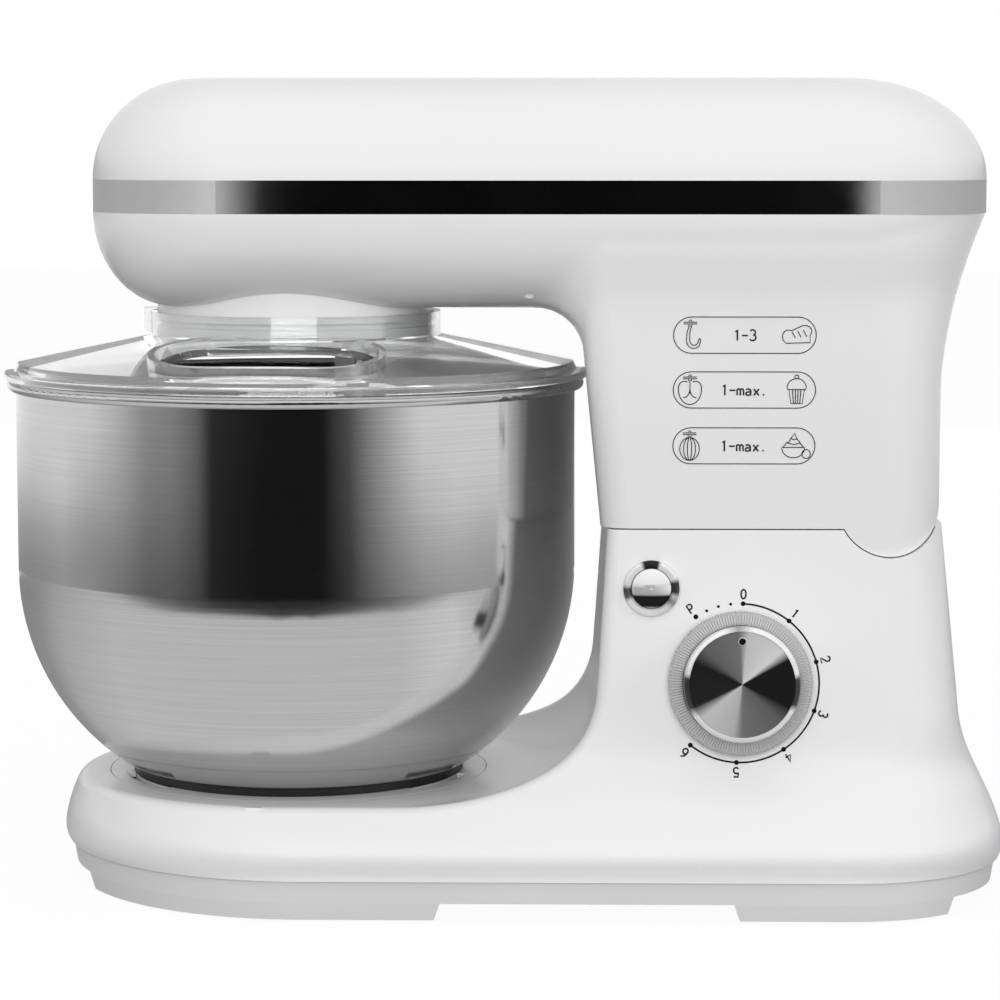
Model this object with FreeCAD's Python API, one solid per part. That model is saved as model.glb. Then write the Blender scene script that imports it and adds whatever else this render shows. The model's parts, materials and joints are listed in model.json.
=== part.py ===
import FreeCAD, Part
import math
import os
from FreeCAD import Vector

# Tilt-head stand mixer. Millimetres, +Z up, the table is z = 0.
# X runs along the mixer, bowl on the -X side, and the dial side faces -Y.

# Base: overall
base_left = -171.0
base_right = 193.0
base_half = 100.0
skirt_top = 16.0
widest_height = 22.0
platform_top = 41.0
seam_height = 142.3
base_wall = 3.0
tuck_in = 1.5
# Base: how the flanks flare out towards the table
side_flare_height = 38.0
end_flare_height = 50.0
side_lean = 0.13
side_bell = 22.4
end_lean = 0.09
end_bell = 13.5
rear_corner_low = 60.0
rear_corner_high = 26.0
end_flat = 1.0
loft_pitch = 8.0
# Base: hollow that the bowl stands in
scoop_radius = 133.0
scoop_sweep = 40.0
rim_round = 5.0
# Base: skirt plate, foot blocks and feet
skirt_inset = 1.2
skirt_draft = 3.0
skirt_bottom = 7.3
block_bottom = 0.8
left_block_start = -157.0
left_block_end = -20.5
right_block_start = 88.0
right_block_end = 170.5
block_slant = 2.5
plate_floor = 3.0
plate_rim = 9.0
foot_radius = 13.0
foot_height = 3.6
foot_hollow = 1.2
foot_lip = 2.6
foot_spots = [(-122.0, 48.0), (-64.0, 72.0), (112.0, 72.0), (148.0, 46.0)]
base_post_radius = 5.0
base_post_spots = [(-90.0, 82.0), (-40.0, 79.0), (96.0, 84.0), (161.0, 64.0)]
base_post_rise = 20.0

# Bowl and its seat
bowl_axis = -79.5
bowl_radius = 108.8
bowl_wall = 1.0
bowl_floor_height = 44.0
bowl_floor_radius = 66.0
bowl_shoulder = 122.0
bead_radius = 2.2
bead_top = 195.5
ring_radius = 64.5
ring_width = 7.0
lug_reach = 3.8
lug_height = 2.0
lug_angle = 28.0
lug_count = 3
lug_play = 4.0
lug_start = 65.0
bowl_twist = 25.0
seat_radius = 74.0
seat_floor_top = 36.0
seat_floor_thickness = 3.0
seat_lip = 2.0
seat_ledge = 8.0
sliding_gap = 0.3

# Head: overall
nose = -155.5
tail = 185.0
head_half = 70.0
head_wall = 2.6
underside = 224.0
band_bottom = 260.0
band_top = 272.4
head_top = 310.5
nose_corner = 52.0
tail_corner = 44.0
crown_nose = 40.0
crown_tail = 51.0
crown_side = 34.0
crown_tail_share = 0.8
belly_nose = 30.0
belly_side = 36.0
belly_tuck = 1.5
band_wall = 2.2
cover_lip = 2.0
lip_depth = 9.0
# Head: upper column
neck_front = 38.9
neck_lean = 0.1
neck_rear = 167.6
neck_half = 62.0
neck_spread = 0.03
neck_step = 1.2
neck_corner = 11.0
neck_rear_corner = 26.0
neck_flare_start = 195.0
neck_flare_power = 1.6
throat_round = 20.0
seam_gap = 0.5

# Hinge
hinge_x = 147.5
hinge_z = 152.3
knuckle_radius = 20.1
knuckle_gap = 0.4
pin_radius = 5.0
ear_middle = 30.0
ear_thickness = 6.0
ear_width = 15.0
ear_head = 9.0
ear_slot_gap = 0.6
bracket_thickness = 3.0
bracket_drop = 14.0
web_thickness = 6.0
web_start = 37.0
bush_wall = 3.0
running_gap = 0.05

# Dial and release button, both square to the leaning face
dial_x = 90.8
dial_z = 85.7
dial_lift = 1.0
knurl_radius = 26.9
knurl_height = 7.0
knurl_floor = 2.0
knurl_bore = 10.0
bezel_radius = 21.5
bezel_height = 18.5
bezel_wall = 2.0
bezel_round = 0.6
cap_thickness = 1.6
cap_recess = 0.6
dot_radius = 1.3
dot_orbit = 15.8
dot_height = 0.4
dial_shaft_radius = 3.0
dial_shaft_outside = 11.7
dial_shaft_inside = 8.5
dial_bush_radius = 5.0
switch_size = 26.0
switch_depth = 17.0
switch_bore = 10.2
switch_gap = 0.2
button_x = 57.8
button_z = 120.6
button_radius = 7.3
button_crown = 1.6
button_proud = 2.2
button_length = 15.0
button_bezel_radius = 10.5
button_bezel_height = 2.4
button_guide_wall = 1.6
button_guide_length = 11.0
spring_radius = 3.6
spring_wire = 1.0
spring_coils = 6
spring_length = 12.0

# Latch under the base deck
latch_x = 72.0
latch_width = 26.0
latch_thickness = 3.5
latch_drop = 6.0
latch_end = -8.0
latch_window = 15.0
striker_width = 11.0
striker_thickness = 6.0
striker_middle = -27.0
striker_ledge = 3.3
striker_ledge_height = 4.0
latch_clear = 0.4
latch_play = 0.6
striker_room = 2.5
rail_width = 3.0
rail_lip = 2.0

# Drive train
gear_module = 1.25
main_teeth = 64
pinion_teeth = 16
ring_teeth = 60
planet_teeth = 20
backlash = 0.3
pressure_angle = 20.0
gear_width = 8.0
gear_root = 1.25
gear_clear = 1.0
gear_rim = 6.0
gear_hub = 6.0
gear_web = 5.0
planet_width = 12.0
pinion_under = 0.5
pinion_over = 1.5
main_shaft_radius = 6.0
main_shaft_over = 4.0
counter_shaft_radius = 5.0
tool_shaft_radius = 6.0
motor_axis = 95.0
motor_shaft_radius = 4.0
motor_shaft_over = 2.0
driven_pulley_radius = 38.0
motor_pulley_radius = 7.6
pulley_width = 10.0
pulley_flange = 2.0
pulley_flange_drop = 1.5
pulley_clear = 3.0
pulley_rim = 5.0
pulley_hub = 5.0
pulley_web = 3.5
belt_thickness = 2.2
belt_gap = 0.3
chassis_bottom = 238.0
chassis_thickness = 4.0
chassis_half = 45.0
chassis_front = -143.0
chassis_rear = 140.0
chassis_corner = 30.0
boss_height = 4.0
boss_wall = 3.0
bearing_wall = 6.0
ring_gear_rim = 3.5
post_radius = 5.0
chassis_post_spots = [(-139.5, 14.0), (34.0, 40.0), (136.0, 34.0)]
cover_post_spots = [(-136.0, 26.0), (12.0, 53.0), (141.5, 48.0)]
bulkhead_x = 136.0
bulkhead_thickness = 4.0
screw_radius = 2.0
screw_head_radius = 3.6
screw_head_height = 2.2
screw_tip_gap = 1.0
bridge_half = 50.0
bridge_bar = 16.0
bridge_thickness = 4.0
bridge_post_radius = 4.0

# Drum, carrier and tool
drum_radius = 53.8
drum_wall = 2.8
drum_bottom = 212.6
drum_rise = 9.0
drum_flange = 2.0
drum_flange_thickness = 2.4
drum_flange_half = 30.0
groove_depth = 1.2
groove_low = 216.0
groove_high = 218.4
carrier_gap = 0.6
carrier_bottom = 214.0
carrier_thickness = 4.0
tool_boss_radius = 10.0
tool_boss_drop = 6.0
tool_boss_rise = 1.0
tool_shaft_bottom = 186.0
tool_pin_radius = 1.6
tool_pin_length = 20.0
tool_pin_height = 200.0
beater_hub_radius = 10.0
beater_hub_height = 32.0
beater_hub_top = 205.0
beater_half = 50.0
beater_bottom = 54.0
beater_shoulder = 118.0
beater_top = 168.0
beater_bar = 9.0
beater_thickness = 6.0
beater_ribs = 2
beater_rib_height = 7.2
beater_rib_low = 90.0
beater_rib_high = 128.0
beater_neck = 5.4
beater_neck_inside = 1.8
beater_foot = 15.0
beater_stem_overlap = 4.0
shoulder_bow = 0.78
shoulder_fall = 0.3
flank_bow = 0.86
flank_fall = 0.62

# Splash guard
guard_radius = 113.5
guard_wall = 2.2
guard_rest_gap = 0.4
guard_rim_width = 5.5
guard_rim_top = 198.5
guard_rim_round = 1.0
guard_rim_fall = 0.3
guard_step = 1.5
guard_shoulder = 201.8
guard_throat = 212.0
collar_radius = 56.4
collar_top = 221.2
collar_gap = 0.3
chute_length = 88.0
chute_width = 44.0
chute_orbit = 82.0
chute_bearing = -93.1
chute_rise = 2.8
chute_wall = 2.6
chute_depth = 9.0
guard_tab_width = 5.0
guard_tab_reach = 3.8
guard_tab_low = 212.4
guard_tab_high = 222.2
guard_tab_bearing = 178.0

# Motor in the upper column
rotor_radius = 19.0
rotor_slots = 12
rotor_slot_width = 2.4
rotor_slot_depth = 6.0
air_gap = 0.6
stator_length = 76.0
stator_width = 66.0
stator_corner = 12.0
stator_low = 174.0
stator_high = 206.0
coil_height = 5.5
coil_thickness = 8.0
coil_offset = 25.0
fan_radius = 27.0
fan_low = 158.5
fan_height = 9.0
fan_blades = 9
fan_plate = 1.6
fan_hub = 3.0
motor_low = 150.0
motor_high = 228.0
bracket_depth = 5.0
bracket_width = 22.0
motor_bearing_radius = 9.0
motor_bearing_height = 5.0
commutator_radius = 10.0
commutator_low = 209.5
commutator_high = 219.0
brush_gap = 0.3
brush_length = 14.0
brush_size = 7.0
brush_rise = 1.0
brush_foot_start = 7.0
brush_foot_thickness = 1.5
bolt_spread_x = 31.0
bolt_spread_y = 26.0
bolt_radius = 2.0
bolt_sleeve = 3.4

# Rear vent grille, control board and cord gland
vent_half = 30.0
vent_low = 176.0
vent_high = 206.0
vent_slats = 5
vent_slat = 2.2
vent_frame = 3.0
vent_lip = 2.0
board_length = 60.0
board_width = 44.0
board_thickness = 1.6
board_x = 110.0
board_height = 26.0
board_post_radius = 3.5
board_post_inset = 4.5
choke_radius = 8.0
choke_height = 14.0
choke_offset = -15.0
heatsink_start = 6.0
heatsink_thickness = 4.0
heatsink_half = 14.7
heatsink_height = 22.0
terminal_start = 16.0
terminal_length = 10.0
terminal_half = 11.0
terminal_height = 11.0
gland_radius = 8.0
gland_bore = 3.8
gland_height = 62.0
gland_y = 18.0
gland_flange = 2.0
gland_length = 16.0
gland_seat = 1.0


# Plain shape helpers
def box(x0, x1, y0, y1, z0, z1):
    return Part.makeBox(x1 - x0, y1 - y0, z1 - z0, Vector(x0, y0, z0))


def rod(radius, z0, z1, x=0.0, y=0.0):
    return Part.makeCylinder(radius, z1 - z0, Vector(x, y, z0), Vector(0, 0, 1))


def tube(outer, inner, z0, z1, x=0.0, y=0.0):
    return rod(outer, z0, z1, x, y).cut(rod(inner, z0, z1, x, y))


def cross_rod(radius, y0, y1, x, z):
    return Part.makeCylinder(radius, y1 - y0, Vector(x, y0, z), Vector(0, 1, 0))


def along_rod(radius, x0, x1, y, z):
    return Part.makeCylinder(radius, x1 - x0, Vector(x0, y, z), Vector(1, 0, 0))


def fuse(shapes):
    whole = shapes[0]
    for shape in shapes[1:]:
        whole = whole.fuse(shape)
    return whole.removeSplitter()


def outline(points):
    # A point of two numbers ends a line, and one of four is an arc's middle and end.
    edges = []
    here = points[0]
    for step in points[1:]:
        start = Vector(here[-2], 0, here[-1])
        end = Vector(step[-2], 0, step[-1])
        if len(step) == 4:
            edges.append(Part.Arc(start, Vector(step[0], 0, step[1]), end).toShape())
        else:
            edges.append(Part.LineSegment(start, end).toShape())
        here = step
    return Part.Face(Part.Wire(edges))


def turned(points, x=0.0):
    solid = outline(points).revolve(Vector(0, 0, 0), Vector(0, 0, 1), 360)
    solid.translate(Vector(x, 0, 0))
    return solid


def swept_across(points, half):
    solid = outline(points).extrude(Vector(0, 2 * half, 0))
    solid.translate(Vector(0, -half, 0))
    return solid


def rounded(x0, x1, half, left_corner, right_corner, z):
    # A level outline with its own corner radius at each end.
    turn = math.sqrt(0.5)
    corners = [
        (x1 - right_corner, -half + right_corner, right_corner, 1, -1),
        (x1 - right_corner, half - right_corner, right_corner, 1, 1),
        (x0 + left_corner, half - left_corner, left_corner, -1, 1),
        (x0 + left_corner, -half + left_corner, left_corner, -1, -1),
    ]
    arcs = []
    for cx, cy, r, sx, sy in corners:
        side = Vector(cx + sx * r, cy, z)
        end = Vector(cx, cy + sy * r, z)
        middle = Vector(cx + sx * r * turn, cy + sy * r * turn, z)
        arcs.append((end, middle, side) if sx == -sy else (side, middle, end))
    edges = []
    for index, (start, middle, end) in enumerate(arcs):
        edges.append(Part.Arc(start, middle, end).toShape())
        following = arcs[(index + 1) % len(arcs)][0]
        edges.append(Part.LineSegment(end, following).toShape())
    return Part.Wire(edges)


def slab(x0, x1, half, left_corner, right_corner, z0, z1):
    face = Part.Face(rounded(x0, x1, half, left_corner, right_corner, z0))
    return face.extrude(Vector(0, 0, z1 - z0))


def loft(wires):
    return Part.makeLoft(wires, True, False, False, 3)


def smooth(t):
    t = min(max(t, 0.0), 1.0)
    return t * t * (3 - 2 * t)


def spaced(low, high, count):
    return [low + (high - low) * i / (count - 1) for i in range(count)]


def mirrored(spots):
    return [(x, side * y) for x, y in spots for side in (-1, 1)]


def save(name, shape):
    if isinstance(shape, list):
        shape = Part.makeCompound(shape)
    shape.exportStep("parts/" + name + ".step")


# Values worked out from the sizes above
platform_under = platform_top - base_wall
deck_under = seam_height - base_wall
neck_bottom = seam_height + seam_gap
chassis_top = chassis_bottom + chassis_thickness
floor_top = underside + head_wall
main_pitch = gear_module * main_teeth / 2
pinion_pitch = gear_module * pinion_teeth / 2
ring_pitch = gear_module * ring_teeth / 2
planet_pitch = gear_module * planet_teeth / 2
tool_orbit = ring_pitch - planet_pitch
counter_axis = bowl_axis + main_pitch + pinion_pitch
gear_low = chassis_top + boss_height + gear_clear
gear_high = gear_low + gear_width
pulley_low = gear_high + pulley_clear
pulley_high = pulley_low + pulley_width
drum_inner = drum_radius - drum_wall
carrier_radius = drum_inner - carrier_gap
carrier_top = carrier_bottom + carrier_thickness
planet_high = chassis_bottom - gear_clear
planet_low = planet_high - planet_width
drum_top = floor_top + drum_rise
lean_angle = math.degrees(math.atan(side_lean))


def flank(z, lean, bell, height):
    if z < widest_height:
        return tuck_in * (widest_height - z) / (widest_height - skirt_top)
    rise = z - widest_height
    return lean * rise + bell * smooth(rise / height)


def side_inset(z):
    return flank(z, side_lean, side_bell, side_flare_height)


def end_inset(z):
    return flank(z, end_lean, end_bell, end_flare_height)


def base_outline(z, inset):
    half = base_half - side_inset(z) - inset
    ends = end_inset(z) + inset
    tall = smooth((z - widest_height) / end_flare_height)
    rear_corner = rear_corner_low + (rear_corner_high - rear_corner_low) * tall - inset
    return rounded(base_left + ends, base_right - ends, half, half - end_flat, rear_corner, z)


def base_block(inset, top):
    steps = int((top - skirt_top) / loft_pitch) + 2
    return loft([base_outline(z, inset) for z in spaced(skirt_top, top, steps)])


def scoop(offset):
    radius = scoop_radius + offset
    sweep = scoop_sweep + offset
    centre_r = scoop_radius - scoop_sweep
    centre_z = platform_top + scoop_sweep
    turn = sweep * math.sqrt(0.5)
    top = seam_height + base_half
    points = [(0, platform_top - offset), (centre_r, platform_top - offset),
              (centre_r + turn, centre_z - turn, radius, centre_z), (radius, top), (0, top),
              (0, platform_top - offset)]
    return turned(points, bowl_axis)


def face_y(z):
    return -(base_half - side_inset(z))


def on_face(shape, x, z):
    # Built along +Z, then stood square to the leaning dial face at this place.
    placed = shape.copy()
    placed.rotate(Vector(0, 0, 0), Vector(1, 0, 0), 90 - lean_angle)
    placed.translate(Vector(x, face_y(z), z))
    return placed


def rim_edges(block):
    # The edge where the flanks meet the hollow, from the platform up the column's corners.
    chosen = []
    for edge in block.Edges:
        low = edge.BoundBox.ZMin
        above = platform_top - sliding_gap < low < seam_height - sliding_gap
        if above and isinstance(edge.Curve, Part.BSplineCurve):
            chosen.append(edge)
    return chosen


def make_base_housing():
    raw = base_block(0.0, seam_height).cut(scoop(0.0))
    outer = raw.makeFillet(rim_round, rim_edges(raw))
    inner = base_block(base_wall, deck_under).cut(scoop(base_wall))
    shell = outer.cut(inner)
    trough = cross_rod(knuckle_radius + knuckle_gap + base_wall, -base_half, base_half, hinge_x, hinge_z)
    seat_ring = tube(seat_radius + sliding_gap + base_wall, seat_radius + sliding_gap,
                     seat_floor_top - seat_floor_thickness, platform_under, bowl_axis)
    ledge = tube(seat_radius + sliding_gap + base_wall, seat_radius - seat_ledge,
                 seat_floor_top - seat_floor_thickness - base_wall, seat_floor_top - seat_floor_thickness,
                 bowl_axis)
    posts = [rod(base_post_radius, skirt_top, platform_top + base_post_rise, x, y)
             for x, y in mirrored(base_post_spots)]
    posts = [post.common(raw) for post in posts]
    block = box(hinge_x - ear_width / 2, hinge_x + ear_width / 2, -ear_middle + ear_thickness,
                ear_middle - ear_thickness, deck_under - bracket_drop, hinge_z)
    gland_wall = base_right - end_inset(gland_height)
    gland_boss = along_rod(gland_radius + gland_flange * 2, gland_wall - gland_length / 2, base_right,
                           gland_y, gland_height)
    trough = trough.fuse(block).fuse(gland_boss)
    for piece in [trough.common(raw), seat_ring, ledge] + posts + latch_rails():
        shell = shell.fuse(piece)
    shell = shell.cut(cross_rod(knuckle_radius + knuckle_gap, -base_half, base_half, hinge_x, hinge_z))
    shell = shell.cut(rod(seat_radius + sliding_gap, seat_floor_top - seat_floor_thickness,
                          platform_top + base_wall, bowl_axis))
    for side in (-1, 1):
        reach = ear_thickness / 2 + ear_slot_gap
        shell = shell.cut(box(hinge_x - ear_width / 2 - ear_slot_gap, hinge_x + ear_width / 2 + ear_slot_gap,
                              side * ear_middle - reach, side * ear_middle + reach,
                              hinge_z - knuckle_radius - base_wall * 3, hinge_z))
    shell = shell.cut(striker_slot())
    shell = shell.cut(on_face(rod(dial_bush_radius + sliding_gap, -base_wall * 2, base_wall), dial_x, dial_z))
    guide = button_radius + sliding_gap + button_guide_wall
    shell = shell.cut(on_face(rod(guide + running_gap, -base_wall * 2, base_wall), button_x, button_z))
    shell = shell.cut(along_rod(gland_radius, gland_wall - gland_length, base_right, gland_y, gland_height))
    gland_bore = gland_radius + gland_flange + sliding_gap
    shell = shell.cut(along_rod(gland_bore, gland_wall - gland_seat, base_right, gland_y, gland_height))
    for x, y in mirrored(base_post_spots):
        shell = shell.cut(rod(screw_radius, 0, skirt_top + plate_rim, x, y))
    save("base_housing", shell)


def make_base_plate():
    wires = []
    for z, inset in ((skirt_top, 0.0), (skirt_bottom, skirt_draft / 2), (block_bottom, skirt_draft)):
        wire = base_outline(skirt_top, skirt_inset + inset)
        wire.translate(Vector(0, 0, z - skirt_top))
        wires.append(wire)
    plate = Part.makeLoft(wires, True, True)
    gaps = [(base_left - base_wall, left_block_start), (left_block_end, right_block_start),
            (right_block_end, base_right + base_wall)]
    for start, end in gaps:
        plate = plate.cut(swept_across([(start - block_slant, 0), (start, skirt_bottom), (end, skirt_bottom),
                                        (end + block_slant, 0), (start - block_slant, 0)], base_half))
    pocket = base_outline(skirt_top, skirt_inset + skirt_draft + plate_rim)
    pocket.translate(Vector(0, 0, skirt_bottom + plate_floor - skirt_top))
    plate = plate.cut(Part.Face(pocket).extrude(Vector(0, 0, skirt_top)))
    for x, y in mirrored(foot_spots):
        plate = plate.cut(rod(foot_radius + sliding_gap, 0, foot_height, x, y))
    for x, y in mirrored(base_post_spots):
        plate = plate.cut(rod(screw_radius + sliding_gap, 0, skirt_top, x, y))
        plate = plate.cut(rod(screw_head_radius + sliding_gap, 0, skirt_bottom, x, y))
    posts = [rod(board_post_radius, skirt_bottom, board_height, x, y) for x, y in board_corners()]
    save("base_plate", fuse([plate] + posts))


def make_feet():
    feet = []
    for x, y in mirrored(foot_spots):
        dish_radius = (foot_radius ** 2 + foot_hollow ** 2) / (2 * foot_hollow)
        dish = Part.makeSphere(dish_radius, Vector(x, y, foot_hollow - dish_radius))
        foot = rod(foot_radius, 0, foot_height, x, y)
        inside = rod(foot_radius - foot_lip, 0, foot_height, x, y)
        feet.append(foot.cut(dish.common(inside)))
    save("suction_feet", feet)


def make_base_screws():
    screws = []
    for x, y in mirrored(base_post_spots):
        head = rod(screw_head_radius, skirt_bottom - screw_head_height, skirt_bottom, x, y)
        screws.append(head.fuse(rod(screw_radius - running_gap, skirt_bottom, skirt_top + plate_rim, x, y)))
    save("base_screws", screws)


def lugs(radius, reach, angle, z0, z1, turn):
    pieces = []
    for i in range(lug_count):
        middle = lug_start + turn + 360.0 * i / lug_count
        wedge = Part.makeCylinder(radius + reach, z1 - z0, Vector(0, 0, z0), Vector(0, 0, 1), angle)
        wedge.rotate(Vector(0, 0, 0), Vector(0, 0, 1), middle - angle / 2)
        wedge = wedge.cut(rod(radius - ring_width / 2, z0, z1))
        wedge.translate(Vector(bowl_axis, 0, 0))
        pieces.append(wedge)
    return pieces


def make_bowl_seat():
    lip_bottom = platform_top - seat_lip
    lug_room = ring_radius + lug_reach + sliding_gap
    seat = rod(seat_radius, seat_floor_top - seat_floor_thickness, platform_top, bowl_axis)
    seat = seat.cut(rod(lug_room, seat_floor_top, lip_bottom, bowl_axis))
    seat = seat.cut(rod(ring_radius + sliding_gap, seat_floor_top, platform_top, bowl_axis))
    notch_reach = lug_reach + sliding_gap
    for notch in lugs(ring_radius, notch_reach, lug_angle + lug_play, lip_bottom, platform_top, bowl_twist):
        seat = seat.cut(notch)
    save("bowl_seat", seat)


def make_foot_ring():
    ring_low = seat_floor_top + sliding_gap
    ring = tube(ring_radius, ring_radius - ring_width, ring_low, bowl_floor_height, bowl_axis)
    tabs = lugs(ring_radius, lug_reach, lug_angle, ring_low, ring_low + lug_height, 0.0)
    save("bowl_foot_ring", fuse([ring] + tabs))


def bowl_curve(offset):
    # The bulge is one arc from the upright wall to the flat floor.
    drop = bowl_shoulder - bowl_floor_height
    inward = bowl_radius - bowl_floor_radius
    bulge = (drop ** 2 + inward ** 2) / (2 * inward)
    centre = bowl_radius - bulge
    half_turn = math.asin(drop / bulge) / 2
    r = bulge - offset
    middle = (centre + r * math.cos(half_turn), bowl_shoulder - r * math.sin(half_turn))
    low_z = bowl_floor_height + offset
    end = (centre + math.sqrt(r ** 2 - (bowl_shoulder - low_z) ** 2), low_z)
    return middle, end


def make_bowl():
    out_mid, out_end = bowl_curve(0.0)
    in_mid, in_end = bowl_curve(bowl_wall)
    inside = bowl_radius - bowl_wall
    bead_z = bead_top - bead_radius
    profile = [(0, bowl_floor_height), out_end, out_mid + (bowl_radius, bowl_shoulder), (bowl_radius, bead_z),
               (inside, bead_z), (inside, bowl_shoulder), in_mid + in_end, (0, bowl_floor_height + bowl_wall),
               (0, bowl_floor_height)]
    wall = turned(profile, bowl_axis)
    bead = Part.makeTorus(bowl_radius - bowl_wall + bead_radius, bead_radius, Vector(bowl_axis, 0, bead_z))
    save("mixing_bowl", fuse([wall, bead]))


# Head shells
def rear_at(z):
    climb = min(max(0.0, (z - neck_flare_start) / (band_bottom - neck_flare_start)), 1.0)
    return neck_rear + (tail - neck_rear) * climb ** neck_flare_power


def neck_outline(z, inset):
    front = neck_front - neck_lean * (z - seam_height)
    half = neck_half + neck_spread * (z - seam_height)
    widening = smooth((z - underside) / (band_bottom - underside))
    half = min(half + (head_half - half) * widening, head_half - neck_step)
    flare = smooth((z - neck_flare_start) / (band_bottom - neck_flare_start))
    rear_corner = neck_rear_corner + (tail_corner - neck_rear_corner) * flare
    return rounded(front + inset, rear_at(z) - inset, half - inset, neck_corner, rear_corner - inset, z)


def neck_block(inset, bottom):
    top = band_bottom + loft_pitch
    steps = int((top - bottom) / loft_pitch) + 2
    return loft([neck_outline(z, inset) for z in spaced(bottom, top, steps)])


def neck_limits(inset):
    # Side view of the column: a level seam, the round knuckle, then open above.
    radius = knuckle_radius - inset
    level = neck_bottom + inset
    meet = hinge_x - math.sqrt(radius ** 2 - (hinge_z - level) ** 2)
    far = tail + head_half
    top = band_bottom + head_half
    points = [(nose, level), (meet, level),
              (hinge_x, hinge_z - radius, hinge_x + radius, hinge_z), (far, hinge_z),
              (far, top), (nose, top), (nose, level)]
    return swept_across(points, base_half)


def belly_block(inset):
    wires = []
    depth = band_bottom - underside - inset
    for angle in (90, 72, 54, 36, 18, 0):
        turn = 1 - math.cos(math.radians(angle))
        z = band_bottom - depth * math.sin(math.radians(angle))
        half = head_half - belly_side * turn - inset
        front = nose + belly_nose * turn + inset
        corner = nose_corner - belly_side * turn - inset
        rear = rear_at(z) - belly_tuck - inset
        wires.append(rounded(front, rear, half, corner, min(tail_corner, half - end_flat) - inset, z))
    above = wires[-1].copy()
    above.translate(Vector(0, 0, loft_pitch))
    return loft(wires + [above])


def crown_block(inset):
    wires = []
    height = head_top - band_top - inset
    for angle in (0, 18, 36, 54, 72, 90):
        turn = 1 - math.cos(math.radians(angle))
        z = band_top + height * math.sin(math.radians(angle))
        half = head_half - crown_side * turn - inset
        corner = nose_corner - crown_side * turn - inset
        rear_corner = tail_corner - crown_side * crown_tail_share * turn - inset
        wires.append(rounded(nose + crown_nose * turn + inset, tail - crown_tail * turn - inset, half,
                             corner, rear_corner, z))
    return loft(wires)


def head_ring(outset, inset, z0, z1):
    outer, inner = [slab(nose + step, tail - step, head_half - step, nose_corner - step, tail_corner - step,
                         z0, z1) for step in (outset, inset)]
    return outer.cut(inner)


def throat_edges(solid):
    # The inside corner where the column's bowl side meets the belly.
    chosen = []
    for edge in solid.Edges:
        boxed = edge.BoundBox
        along = neck_front - throat_round < boxed.XMin and boxed.XMax < neck_front + throat_round
        if along and boxed.ZMin > underside - sliding_gap and boxed.ZMax < band_bottom - post_radius:
            chosen.append(edge)
    return chosen


def neck_relief(offset):
    # The round hollow down the column's bowl side that clears the splash guard.
    straight = neck_half - neck_corner
    low_z = neck_bottom - knuckle_radius
    high_z = underside - throat_round
    low_r = math.hypot(neck_front - bowl_axis, straight) + neck_lean * (seam_height - low_z) + offset
    high_r = math.hypot(neck_front - bowl_axis, straight) + neck_lean * (seam_height - high_z) + offset
    turn = (throat_round + offset) * math.sqrt(0.5)
    centre_r = high_r - throat_round - offset
    top = underside + offset
    points = [(0, low_z), (low_r, low_z), (high_r, high_z),
              (centre_r + turn, high_z + turn, centre_r, top), (0, top), (0, low_z)]
    return turned(points, bowl_axis)


def make_lower_housing():
    neck_low = hinge_z - knuckle_radius
    column = neck_block(0.0, neck_low).common(neck_limits(0.0))
    hollow_column = neck_block(head_wall, neck_low).common(neck_limits(head_wall))
    solid = column.fuse(belly_block(0.0))
    solid = solid.makeFillet(throat_round, throat_edges(solid))
    relief = neck_relief(0.0)
    relief_wall = neck_relief(head_wall).cut(relief).common(solid)
    shell = solid.cut(hollow_column).cut(belly_block(head_wall)).cut(relief).fuse(relief_wall)
    inner_parts = [box(bulkhead_x - bulkhead_thickness / 2, bulkhead_x + bulkhead_thickness / 2, -head_half,
                       head_half, underside - throat_round, chassis_bottom)]
    for x, y in mirrored(chassis_post_spots):
        low = underside if x < neck_front else underside - throat_round
        inner_parts.append(rod(post_radius, low, chassis_bottom, x, y))
    for x, y in mirrored(cover_post_spots):
        low = underside if x < neck_front else underside - throat_round
        inner_parts.append(rod(post_radius, low, band_bottom, x, y))
    for side in (-1, 1):
        start = min(side * web_start, side * (web_start + web_thickness))
        inner_parts.append(cross_rod(knuckle_radius - head_wall / 2, start, start + web_thickness,
                                     hinge_x, hinge_z))
    inside = neck_block(head_wall / 2, neck_low).fuse(belly_block(head_wall / 2))
    shell = shell.fuse([piece.common(inside) for piece in inner_parts])
    shell = shell.cut(box(nose - head_half, tail + head_half, -base_half, base_half, band_bottom, head_top))
    for x, y in mirrored(chassis_post_spots):
        shell = shell.cut(rod(screw_radius, chassis_bottom - post_radius * 2, chassis_bottom, x, y))
    for x, y in mirrored(cover_post_spots):
        shell = shell.cut(rod(screw_radius, underside, band_bottom, x, y))
    shell = shell.cut(rod(drum_radius + sliding_gap, underside - throat_round, drum_top, bowl_axis))
    bore_end = web_start + web_thickness * 2
    shell = shell.cut(cross_rod(pin_radius + bush_wall, -bore_end, bore_end, hinge_x, hinge_z))
    for side in (-1, 1):
        reach = ear_thickness / 2 + ear_slot_gap
        shell = shell.cut(cross_rod(knuckle_radius + ear_slot_gap, side * ear_middle - reach,
                                    side * ear_middle + reach, hinge_x, hinge_z))
    shell = shell.cut(box(neck_rear - head_wall * 4, tail, -vent_half, vent_half, vent_low, vent_high))
    save("head_lower_housing", shell)


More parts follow.
